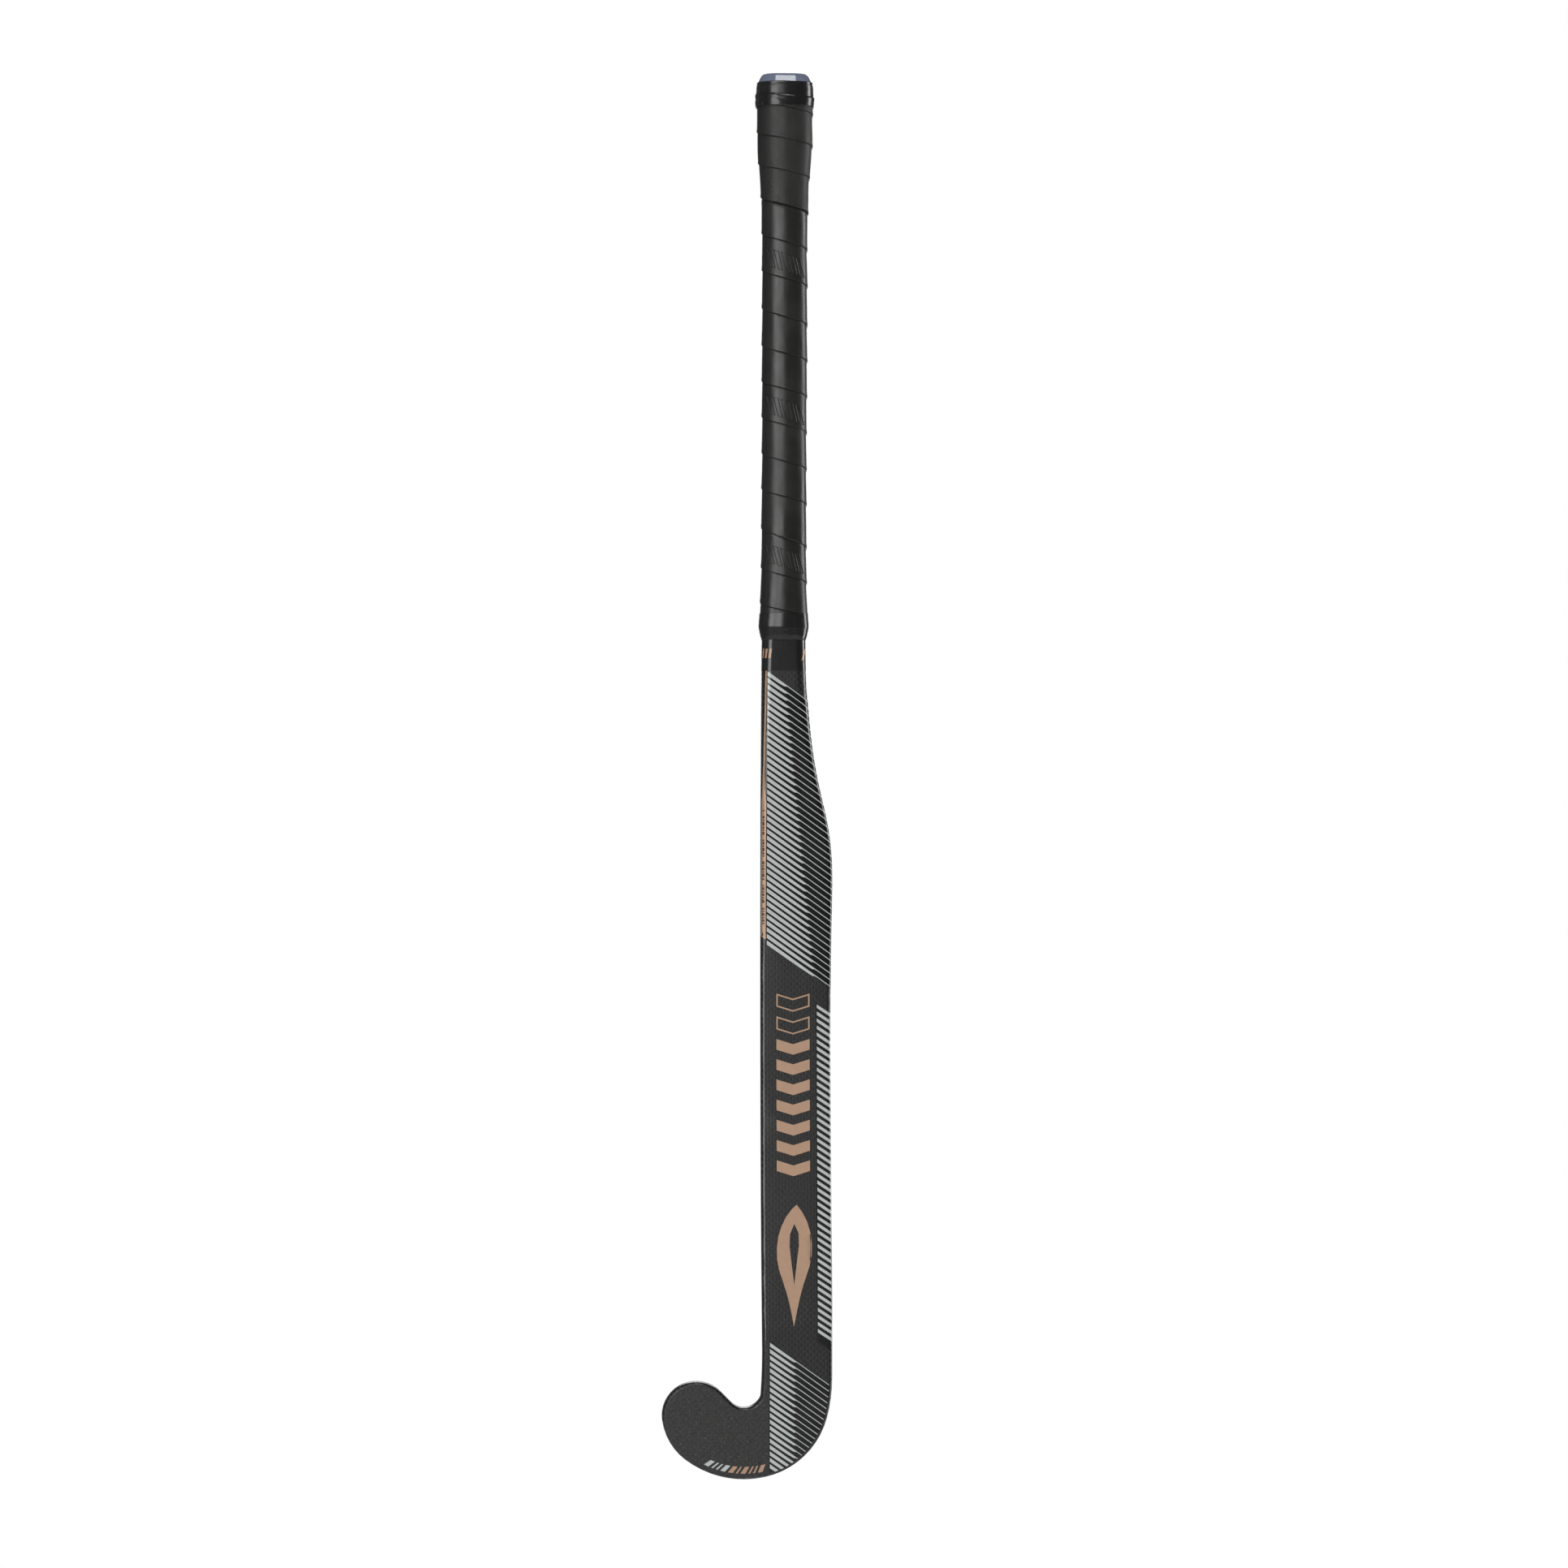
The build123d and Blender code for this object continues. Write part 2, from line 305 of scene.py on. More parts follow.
@dataclass(frozen=True)
class Finish:
    """One finish: base values that every finish has, and the pattern that its subclass adds."""

    name: str
    colour: tuple[float, float, float]
    roughness: float = 0.5
    metallic: float = 0.0
    coat: float = 0.0
    coat_roughness: float = 0.1
    relief: float = 0.00003  # depth of its surface pattern, in metres
    fine: float = 900.0
    broad: float = 40.0
    mottle: float = 0.15  # how much its tone wanders

    def material(self) -> bpy.types.Material:
        """Builds the material once and returns it after that.

        Returns:
            The material.
        """
        found = bpy.data.materials.get(self.name)
        if found is not None:
            return found
        made = bpy.data.materials.new(self.name)
        made.use_nodes = True
        made.node_tree.nodes.clear()
        made.diffuse_color = rgba(self.colour)
        kit = Nodes(made.node_tree)
        plain = {"Metallic": self.metallic, "Coat Weight": self.coat, "Coat Roughness": self.coat_roughness}
        shader = kit.add("BsdfPrincipled", plain | self.pattern(kit, kit.add("TexCoord")))
        kit.add("OutputMaterial", {0: shader[0]})
        return made

    def grain(self, kit: Nodes, where: Placed) -> Placed:
        """Returns the shared grain, placed at this finish's scales."""
        scales = {"Fine Scale": self.fine, "Broad Scale": self.broad}
        return Grain().place(kit, {"Vector": where[Coords.OBJECT.value]} | scales)

    def weave(self, kit: Nodes, where: Placed, tow: float) -> Placed:
        """Returns the shared weave, placed with tows of a width in metres."""
        wires = {"Vector": where[Coords.OBJECT.value], "Facing": where[Coords.NORMAL.value], "Tow": tow}
        return Weave().place(kit, wires)

    def rough(self, by: Value, low: float, high: float) -> Value:
        """Returns a roughness that a grain moves between two shares of the middle one."""
        return by.ramp(0.3, 0.7, (self.roughness * low, self.roughness * high))

    def surface(self, kit: Nodes, colour: Value, rough: Value, height: Value) -> dict[str, object]:
        """Returns the shader's inputs for a colour, a roughness and a height of 0 to 1."""
        normal = kit.add("Bump", {"Height": height, "Distance": self.relief, "Strength": 1.0})
        return {"Base Color": colour, "Roughness": rough, "Normal": normal[0]}

    def pattern(self, kit: Nodes, where: Placed) -> dict[str, object]:
        """Adds the finish's own pattern: here plain moulded or printed stuff with a little mottling.

        Args:
            kit: the material's tree helper.
            where: its Texture Coordinate node.

        Returns:
            What goes into the shader's inputs.
        """
        grain = self.grain(kit, where)
        darker, lighter = rgba(self.colour, 1 - self.mottle), rgba(self.colour, 1 + self.mottle)
        colour = kit.blend(grain["Broad"], darker, lighter)
        return self.surface(kit, colour, self.rough(grain["Broad"], 0.85, 1.15), grain["Fine"])


@dataclass(frozen=True)
class WovenFinish(Finish):
    """Woven cloth set in resin under a clear coat."""

    # painted sheen: the lighter colour that the tows lying along get, standing in for the light they reflect
    second: tuple[float, float, float] = (0.03, 0.03, 0.032)  # colour of the tows that lie along
    tow: float = 0.0021  # width of a tow, in metres

    def pattern(self, kit: Nodes, where: Placed) -> dict[str, object]:
        """Adds two tow directions, the tows along painted lighter as a painted sheen, crowned, with painted shade
        towards each tow's edges and fibre lines; see Finish.pattern.
        """
        grain, weave = self.grain(kit, where), self.weave(kit, where, self.tow)
        # painted sheen and shade: the tows along are coloured lighter, and the colour darkens towards each tow's edges
        # where the crown falls
        tone = (weave["Fibre"] * 0.12 + weave["Warp"]) * weave["Crown"].ramp(0.2, 0.9, (0.55, 1.0))
        tone = tone * grain["Broad"].ramp(0.3, 0.7, (0.65, 1.0))
        rough = weave["Warp"].ramp(0.0, 1.0, (self.roughness * 1.1, self.roughness * 0.85))
        height = weave["Crown"] * 0.6 + grain["Fine"] * 0.4
        return self.surface(kit, kit.blend(tone, rgba(self.colour), rgba(self.second)), rough, height)


@dataclass(frozen=True)
class GripFinish(Finish):
    """Tacky polyurethane grip tape, smooth or with fine slanted ribs."""

    rib_pitch: float = 0.0  # step from rib to rib, in metres, or 0 for smooth tape
    rib_slope: float = 0.8  # how much the ribs slant

    def pattern(self, kit: Nodes, where: Placed) -> dict[str, object]:
        """Adds pores, a soft wandering sheen and, where there are any, the ribs, with painted shade in their grooves;
        see Finish.pattern.
        """
        grain = self.grain(kit, where)
        height = grain["Speck"].ramp(0.0, 0.35) * 0.25 + grain["Fine"] * 0.5
        tone = grain["Broad"]
        if self.rib_pitch:
            flat = kit.add("SeparateXYZ", {0: where[Coords.UV.value]})
            wave = (flat[0] * self.rib_slope + flat[1]) * (2 * math.pi / self.rib_pitch)
            rib = wave.step("SINE").ramp(-0.7, 0.6)
            height = height * 0.12 + rib
            # painted shade: the colour darkens in the grooves between the ribs
            tone = (rib * 0.85 + 0.15) * tone
        colour = kit.blend(tone, rgba(self.colour, 0.7), rgba(self.colour, 1.5))
        return self.surface(kit, colour, self.rough(grain["Broad"], 0.8, 1.2), height)


@dataclass(frozen=True)
class TapeFinish(Finish):
    """Stretched glossy vinyl tape."""

    def pattern(self, kit: Nodes, where: Placed) -> dict[str, object]:
        """Adds long creases and fine stretch marks; see Finish.pattern."""
        grain = self.grain(kit, where)
        folds = Creases().place(kit, {"Vector": where[Coords.UV.value]})
        colour = kit.blend(grain["Broad"] * 0.8, rgba(self.colour), rgba(self.colour, 2.2))
        height = folds["Fold"] * 0.85 + folds["Fine"] * 0.12
        return self.surface(kit, colour, self.rough(grain["Broad"], 0.85, 1.2), height)


@dataclass(frozen=True)
class GritFinish(Finish):
    """Gritty coat over woven cloth, with mineral specks, a few of them painted bright as glints."""

    # painted glint: the colour of the few specks that are shown lit bright
    glint_colour: tuple[float, float, float] = (0.13, 0.127, 0.12)
    cloth: float = 0.0021  # width of a tow of the cloth under it, in metres
    speck_scale: float = 1250.0
    speck_share: float = 0.985  # share of the grains that don't shine

    def pattern(self, kit: Nodes, where: Placed) -> dict[str, object]:
        """Adds grains of two sizes, cloudy tone, the cloth below with painted shade at its tows' edges and painted
        sheen on the tows along, and a few specks painted bright as glints; see Finish.pattern.
        """
        grain, weave = self.grain(kit, where), self.weave(kit, where, self.cloth)
        # painted shade and sheen of the cloth below: darker towards each tow's edges, lighter on the tows along
        under = weave["Crown"].ramp(0.2, 0.9, (0.35, 1.0)) * (weave["Warp"] * 0.45 + 0.55)
        base = kit.blend(grain["Broad"] * (under * 1.1 + 0.35), rgba(self.colour, 0.5), rgba(self.colour, 1.7))
        spots = grain["Fine"].ramp(0.42, 0.62, (0.0, 0.75)) * (under * 0.8 + 0.3)
        mottled = kit.blend(spots, base, rgba(self.colour, 2.8))
        # painted glints: a few specks get the glint colour
        cell = kit.add("TexVoronoi", {"Vector": where[Coords.OBJECT.value], "Scale": self.speck_scale})
        chance = kit.add("SeparateColor", {0: cell["Color"]})[0].step("GREATER_THAN", self.speck_share)
        colour = kit.blend(chance * cell["Distance"].step("LESS_THAN", 0.4), mottled, rgba(self.glint_colour))
        rough = grain["Fine"].ramp(0.35, 0.65, (self.roughness * 1.2, self.roughness * 0.7))
        return self.surface(kit, colour, rough, grain["Fine"])


@dataclass(frozen=True)
class CapFinish(Finish):
    """Smoky translucent plastic."""

    transmission: float = 0.2
    bending: float = 1.49

    def pattern(self, kit: Nodes, where: Placed) -> dict[str, object]:
        """Adds light that goes through to the plain mottled pattern; see Finish.pattern."""
        return super().pattern(kit, where) | {"Transmission Weight": self.transmission, "IOR": self.bending}


class Shelf:
    """Every finish on the stick and in its room."""

    carbon = WovenFinish(
        "woven_carbon", (0.0055, 0.0053, 0.0053), 0.31, coat=0.45, coat_roughness=0.2, relief=0.00006,
        second=(0.038, 0.036, 0.035),
    )
    aramid = WovenFinish("aramid_cloth", (0.30, 0.20, 0.05), 0.6, second=(0.55, 0.40, 0.12), tow=0.0016)
    glass = WovenFinish("glass_cloth", (0.20, 0.24, 0.15), 0.4, second=(0.30, 0.34, 0.22), tow=0.0018)
    lacquer = Finish(
        "satin_black_lacquer", (0.008, 0.0078, 0.0078), 0.27, coat=0.5, coat_roughness=0.16, relief=0.00001, mottle=0.25
    )
    deep = Finish(
        "deep_black_lacquer", (0.0045, 0.0043, 0.0043), 0.22, coat=0.3, relief=0.00001, mottle=0.25
    )
    silver = Finish(
        "silver_print", (0.56, 0.60, 0.59), 0.42, metallic=0.1, coat=0.35, relief=0.000008, fine=2500, broad=220,
        mottle=0.08,
    )
    grey = Finish("worn_silver_print", (0.12, 0.127, 0.126), 0.5, relief=0.00001, fine=2500, broad=900, mottle=0.6)
    bronze = Finish(
        "bronze_print", (0.50, 0.318, 0.212), 0.45, metallic=0.25, coat=0.2, relief=0.00001, fine=3000, broad=300,
        mottle=0.08,
    )
    ink = Finish("dark_print", (0.05, 0.035, 0.028), 0.5, relief=0.000008, fine=2500, mottle=0.2)
    grip = GripFinish("smooth_polyurethane", (0.0165, 0.016, 0.0152), 0.36, relief=0.00007, fine=1500, broad=55)
    ribbed = GripFinish(
        "ribbed_polyurethane", (0.0235, 0.0225, 0.0215), 0.44, relief=0.00016, fine=1500, broad=55, rib_pitch=0.0013
    )
    vinyl = TapeFinish("stretched_vinyl", (0.006, 0.006, 0.0065), 0.24, coat=0.2, relief=0.00005)
    soft_vinyl = TapeFinish("soft_vinyl", (0.008, 0.0078, 0.0076), 0.26, coat=0.2, coat_roughness=0.12)
    cap = CapFinish(
        "smoky_cap_plastic", (0.23, 0.27, 0.38), 0.14, coat=0.8, coat_roughness=0.13, relief=0.00001, broad=60,
        mottle=0.25,
    )
    grit = GritFinish("gritty_coat", (0.0165, 0.016, 0.0157), 0.55, relief=0.00016, fine=1250, broad=260)
    foam = Finish("core_foam", (0.62, 0.54, 0.38), 0.85, relief=0.0003, fine=1400, mottle=0.12)
    dark_foam = Finish("flare_foam", (0.03, 0.03, 0.032), 0.8, relief=0.0002, fine=1400, mottle=0.2)
    backing = Finish("cloth_backing", (0.02, 0.02, 0.02), 0.8, relief=0.0001, fine=1800, mottle=0.2)
    floor = Finish("pale_floor", (0.93, 0.93, 0.93), 0.9, relief=0.00001, mottle=0.01)


# ---- mesh helpers ----


def merged_copy(node: str) -> Sheet:
    """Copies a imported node's mesh with its loose triangles joined.

    Args:
        node: the node's name.

    Returns:
        The joined copy.
    """
    bm = bmesh.new()
    bm.from_mesh(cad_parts[node].data)
    bmesh.ops.remove_doubles(bm, verts=bm.verts, dist=0.000002)
    return bm


def set_out(name: str, data: bpy.types.ID) -> bpy.types.Object:
    """Makes an object of a mesh, a lamp or a camera and links it to the scene.

    Args:
        name: the object's name.
        data: what it shows.

    Returns:
        The object.
    """
    made = bpy.data.objects.new(name, data)
    bpy.context.scene.collection.objects.link(made)
    return made


def finish_piece(
    name: str, bm: Sheet, finish: Finish, smooth_angle: float = 40.0, wall: float = 0.0
) -> bpy.types.Object:
    """Turns a bmesh into a dressed piece that rides on the stick.

    Args:
        name: the piece's name.
        bm: its shape, which is freed.
        finish: its finish.
        smooth_angle: edges sharper than this stay sharp, in degrees; 0 keeps every face flat, as on thin prints.
        wall: thickness to add outwards of the sheet, in metres, or inwards where negative.

    Returns:
        The piece.
    """
    mesh = bpy.data.meshes.new(name)
    bm.to_mesh(mesh)
    bm.free()
    if smooth_angle:
        mesh.shade_smooth()
        mesh.set_sharp_from_angle(angle=math.radians(smooth_angle))
    else:
        mesh.shade_flat()
    piece = set_out(name, mesh)
    mesh.materials.append(finish.material())
    if wall:
        thick = piece.modifiers.new("wall", "SOLIDIFY")
        thick.thickness = abs(wall)
        thick.offset = 1.0 if wall > 0 else -1.0
        thick.use_even_offset = True
    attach(piece, "root")
    log.info("%s: %d faces", name, len(mesh.polygons))
    return piece


def face_outwards(bm: Sheet) -> None:
    """Turns faces that look into the stick so that they look away from it.

    Args:
        bm: a sheet on the playing side, or round the front corners.
    """
    bm.normal_update()
    inward = [face for face in bm.faces if face.normal.y > 0]
    if inward:
        bmesh.ops.reverse_faces(bm, faces=inward)


def keep_rim(bm: Sheet, face: bmesh.types.BMFace, width: float) -> None:
    """Leaves only a line along the edge of a flat shape.

    Args:
        bm: the shape.
        face: its face.
        width: the line's width.
    """
    bmesh.ops.inset_region(bm, faces=bm.faces[:], thickness=width, use_boundary=True, use_even_offset=True)
    bmesh.ops.delete(bm, geom=[face], context="FACES_ONLY")


def pour(source: Sheet, target: Sheet) -> None:
    """Adds one sheet to another.

    Args:
        source: the sheet to add, which is freed.
        target: the sheet that it joins.
    """
    mesh = bpy.data.meshes.new("poured")
    source.to_mesh(mesh)
    source.free()
    target.from_mesh(mesh)
    bpy.data.meshes.remove(mesh)


def spread(low: float, high: float, share: float) -> float:
    """Returns the value a share of the way from low to high."""
    return low + (high - low) * share


def clamp(share: float) -> float:
    """Returns a share kept between 0 and 1."""
    return min(max(share, 0.0), 1.0)


def ease(share: float) -> float:
    """Returns a share eased at both ends."""
    share = clamp(share)
    return share * share * (3 - 2 * share)


class Skin:
    """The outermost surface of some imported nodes, for laying prints and tapes on."""

    corners = ((330.0, 2.6), (400.0, 3.0), (434.0, 3.6), (480.0, 4.6), (530.0, 6.2), (585.0, 7.8), (620.0, 8.4))
    hook_top = 92.0  # below this height prints lie flat on the hook, above it they bend round the front corners
    shaft_x = 0.003  # where the shaft's face is measured, in metres
    half_deep = 0.010  # from the face to the middle of the sides, in metres
    near = 0.006  # how far off the surface a print's own ray starts, in metres
    level = 0.5  # the sides are measured once for every such height, in mm

    def __init__(self, nodes: Sequence[str]) -> None:
        """Joins the nodes' meshes into one search tree.

        Args:
            nodes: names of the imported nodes.
        """
        joined = bmesh.new()
        for node in nodes:
            joined.from_mesh(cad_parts[node].data)
        self.tree = BVHTree.FromBMesh(joined)
        joined.free()
        self._edges: dict[int, tuple[float, float, float]] = {}

    def hit(self, start: Vector, way: Vector) -> Optional[Vector]:
        """Returns where a ray first meets the surface, or None."""
        return self.tree.ray_cast(start, way)[0]

    def front(self, x: float, z: float) -> float:
        """Returns the Y of the playing side at a place."""
        found = self.hit(Vector((x, -FAR, z)), Vector((0, 1, 0)))
        return found.y if found is not None else 0.0

    def corner(self, up: float) -> float:
        """Gives the size of the shaft's front corners.

        Args:
            up: height above the hook's lowest point, in mm.

        Returns:
            The corners' radius, in metres.
        """
        up = min(max(up, self.corners[0][0]), self.corners[-1][0])
        radius = self.corners[0][1]
        for (low, small), (high, large) in zip(self.corners, self.corners[1:]):
            if low < up <= high:
                radius = spread(small, large, (up - low) / (high - low))
        return radius * MM

    def edges(self, z: float) -> tuple[float, float, float]:
        """Finds the shaft's sides and the size of its front corners at a height.

        Args:
            z: height in the row's frame.

        Returns:
            Crook side, heel side and corner radius, in metres.
        """
        key = round(z / (self.level * MM))
        if key not in self._edges:
            z = key * self.level * MM
            middle = self.front(self.shaft_x, z) + self.half_deep
            left = self.hit(Vector((-FAR, middle, z)), Vector((1, 0, 0))).x
            right = self.hit(Vector((FAR, middle, z)), Vector((-1, 0, 0))).x
            self._edges[key] = (left, right, self.corner((z - FLOOR_Z) / MM))
        return self._edges[key]

    def wrap(self, run: float, up: float, lift: float) -> Vector:
        """Lays a point of a print on the shaft, bending it round the front corners.

        Args:
            run: place across the print, in mm from the handle's axis, measured along the surface.
            up: height above the hook's lowest point, in mm.
            lift: how far above the surface, in mm.

        Returns:
            The point, in metres.
        """
        z = FLOOR_Z + up * MM
        run *= MM
        lean = sink = 0.0
        x = face_x = run
        if up > self.hook_top:
            face_x = self.shaft_x
            left, right, corner = self.edges(z)
            low, high = left + corner, right - corner
            over = run - high if run > high else run - low if run < low else 0.0
            lean = max(min(over / corner, math.pi / 2), -math.pi / 2)
            if lean:
                x = (high if lean > 0 else low) + corner * math.sin(lean)
                sink = corner * (1 - math.cos(lean)) + max(abs(over) - corner * math.pi / 2, 0.0)
        outward = Vector((math.sin(lean), -math.cos(lean), 0.0))
        guess = Vector((x, self.front(face_x, z) + sink, z))
        found = self.hit(guess + outward * self.near, -outward)
        return (found if found is not None else guess) + outward * lift * MM


# ---- moulded hook and shaft ----


@dataclass
class MouldedStick:
    """The moulding, its coats and the films printed on it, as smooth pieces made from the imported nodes."""

    dressed: dict[str, tuple[Finish, str]] = field(  # node to finish and material slot, for the outer nodes
        default_factory=lambda: {
            "carbon_shell": (Shelf.carbon, "carbon_laminate"),
            "collar_band": (Shelf.lacquer, "black_lacquer"),
            "upper_stripe_film": (Shelf.deep, "printed_film"),
            "side_strip_film": (Shelf.carbon, "bronze_film"),
            "motif_film": (Shelf.carbon, "bronze_film"),
            "edge_stripe_film": (Shelf.lacquer, "printed_film"),
            "heel_stripe_film": (Shelf.lacquer, "printed_film"),
            "head_marks_film": (Shelf.grit, "bronze_film"),
            "grip_coat": (Shelf.grit, "textured_coat"),
        }
    )
    kept: dict[str, Finish] = field(  # node to finish, for the inner nodes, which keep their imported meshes
        default_factory=lambda: {
            "glass_fibre_liner": Shelf.glass,
            "aramid_hook_ply": Shelf.aramid,
            "head_foam_core": Shelf.foam,
            "shaft_web": Shelf.glass,
            "handle_plug": Shelf.foam,
            "butt_flare": Shelf.dark_foam,
            "grip_backing": Shelf.backing,
        }
    )
    smooth_angle: float = 35.0

    def build(self) -> None:
        """Makes the smooth outer pieces and dresses the inner nodes where they are."""
        for node, (finish, slot) in self.dressed.items():
            piece = finish_piece(node + "_smooth", merged_copy(node), finish, self.smooth_angle)
            level = piece.modifiers.new("even_shading", "WEIGHTED_NORMAL")
            level.keep_sharp = True
            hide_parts(node)
        for node, finish in self.kept.items():
            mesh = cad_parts[node].data
            mesh.materials.clear()
            mesh.materials.append(finish.material())


# ---- prints ----


@dataclass(frozen=True)
class HeelLine:
    """The hook's outer line on the heel side. Sizes are in mm."""

    high: tuple[float, float, float] = (-68.2, 66.0, 100.0)  # upper arc: centre across, centre height and radius, in mm
    low: tuple[float, float, float] = (-23.8, 54.1, 54.0)
    sole: tuple[float, float, float] = (-26.1, 64.5, 64.7)
    side: float = 31.8
    low_top: float = 40.1  # height where the low arc takes over from the high one
    sole_end: float = -12.2  # place across where the sole's arc takes over from the low one

    def holds(self, x: float, up: float, margin: float) -> bool:
        """Says whether a point is inside the line by a margin.

        Args:
            x: place across, in mm.
            up: height, in mm.
            margin: how far inside, in mm.

        Returns:
            True where it is inside.
        """
        if up > self.high[1]:
            return x < self.side - margin
        arc = self.high if up > self.low_top else self.low if x > self.sole_end else self.sole
        return math.hypot(x - arc[0], up - arc[1]) < arc[2] - margin


@dataclass
class StripeFan:
    """Slanted stripes that start thick at one side and carry on as thin lines. Sizes are in mm."""

    name: str
    skin: Skin
    start: float  # where the stripes start, across, in mm
    first: float  # height of the first stripe's top edge at its start
    pitch: float
    count: int
    slope: float  # drop per mm across
    thick: float  # height of a stripe's thick part
    thin: float  # height of its thin part
    turn: float  # where the first stripe goes from thick to thin, across
    drift: float = 0.0  # how far that place moves across with each mm down
    end: float = 0.0  # where the stripes end, across
    fray: float = 1.3  # half the length over which a stripe goes from thick to thin
    trail: float = 3.4  # how far the worn grey end runs on past the turn, in frays
    steps: int = 44  # how many parts a strip has along it
    # how much of its height the thick part loses on the way, evenly and all at its end
    worn_by: Point = (0.26, 0.28)
    ragged: Point = (0.22, 0.16)  # how uneven the ends are, bright and worn
    lift: Point = (0.07, 0.03)  # how far the bright and the worn print lie above the surface
    wall: float = 0.05

    def line(self, top: float, run: float) -> float:
        """Returns the height of a stripe's top edge at a place across."""
        return top - self.slope * (run - self.start)

    def stop(self, top: float) -> float:
        """Returns where the stripe that starts at a height ends."""
        return self.end

    def settle(self, run: float, up: float, line: float) -> float:
        """Returns the height of a point of a stripe, moved up to its line where it would leave the stick."""
        return min(up, line)

    def band(
        self, bm: Sheet, top: float, ends: Point, upper: float,
        lower: Callable[[float], float], lift: float,
    ) -> None:
        """Lays one strip between two edges that follow a stripe.

        Args:
            bm: where to add it.
            top: the stripe's starting height.
            ends: where the strip starts and ends, across.
            upper: how far below the stripe's top line the strip's upper edge lies.
            lower: gives the same for its lower edge, at a place across.
            lift: how far above the surface it lies, in mm.
        """
        made = bmesh.ops.create_grid(bm, x_segments=self.steps, y_segments=1, size=1.0)
        for vert in made["verts"]:
            run = spread(*ends, (vert.co.x + 1) / 2)
            line = self.line(top, run)
            up = line - (upper if vert.co.y > 0 else lower(run))
            vert.co = self.skin.wrap(run, self.settle(run, up, line), lift)

    def stripe(self, bright: Sheet, worn: Sheet, top: float, stop: float) -> None:
        """Lays one stripe and the worn grey end behind where it thins out.

        Args:
            bright: where its bright print goes.
            worn: where its grey print goes.
            top: its starting height.
            stop: where it ends, across.
        """
        turn = self.turn + (self.first - top) * self.drift

        def height(run: float) -> float:
            """Returns how tall the thick part still is at a place across."""
            along = clamp((run - self.start) / (turn - self.start))
            return self.thick - (self.thick - self.thin) * (self.worn_by[0] * along + self.worn_by[1] * along**4)

        def lower(run: float) -> float:
            """Returns how far the bright print reaches below its top line."""
            share = ease((run - turn + self.fray) / (2 * self.fray))
            rough = self.ragged[0] * noise.noise(Vector((run * 2.3, top * 0.9, 3.0))) * (4 * share * (1 - share))
            return self.thin + (height(run) - self.thin) * clamp(1 - share + rough)

        def tail(run: float) -> float:
            """Returns how far the grey print reaches below its top line."""
            left = 1 - clamp((run - turn + self.fray) / ((1 + self.trail) * self.fray))
            rough = self.ragged[1] * noise.noise(Vector((run * 1.9, top * 0.7, 8.0))) * left
            return self.thin * 0.5 + (height(run) * 0.95 - self.thin * 0.5) * clamp(left**1.3 + rough)

        thinned = turn + self.fray
        self.band(bright, top, (self.start, min(thinned, stop)), 0.0, lower, self.lift[0])
        if thinned < stop:
            self.band(bright, top, (thinned, stop), 0.0, lower, self.lift[0])
            ends = (turn - self.fray, min(turn + self.trail * self.fray, stop))
            self.band(worn, top, ends, self.thin * 0.4, tail, self.lift[1])

    def build(self) -> None:
        """Builds the bright stripes and their worn grey ends."""
        bright, worn = bmesh.new(), bmesh.new()
        for index in range(self.count):
            top = self.first - index * self.pitch
            stop = self.stop(top)
            if stop - self.start >= 1.0:
                self.stripe(bright, worn, top, stop)
        for name, bm, finish in ((self.name, bright, Shelf.silver), (self.name + "_worn_ends", worn, Shelf.grey)):
            if bm.verts:
                bmesh.ops.remove_doubles(bm, verts=bm.verts, dist=0.000004)
                face_outwards(bm)
                finish_piece(name, bm, finish, smooth_angle=0.0, wall=self.wall * MM)
            else:
                bm.free()


@dataclass
class ShaftStripes(StripeFan):
    """Stripes that run across the shaft and round its heel-side corner."""

    short: float = 0.2  # how far before the end of the corner's bend they end, in mm
    guess: float = 20.0  # where the search for the end starts, across

    def stop(self, top: float) -> float:
        """Returns where the stripe that starts at a height ends: round the corner, found in three rounds."""
        run = self.guess
        for _ in range(3):
            _, right, corner = self.skin.edges(FLOOR_Z + self.line(top, run) * MM)
            run = (right - corner * (1 - math.pi / 2)) / MM - self.short
        return run


@dataclass
class HeelStripes(StripeFan):
    """Stripes that end just inside the hook's outer line."""

    heel: HeelLine = field(default_factory=HeelLine)
    margin: float = 2.1  # how far inside it they end, in mm
    edge_margin: float = 1.9  # how far inside it their lower edges stay, in mm

    def stop(self, top: float) -> float:
        """Returns where the stripe that starts at a height ends: inside the outer line."""
        run = self.start
        while run < self.end and self.heel.holds(run + CREEP, self.line(top, run + CREEP), self.margin):
            run += CREEP
        return run

    def settle(self, run: float, up: float, line: float) -> float:
        """Returns the height of a point of a stripe, moved up until it is inside the outer line."""
        while up < line and not self.heel.holds(run, up, self.edge_margin):
            up += CREEP
        return min(up, line)


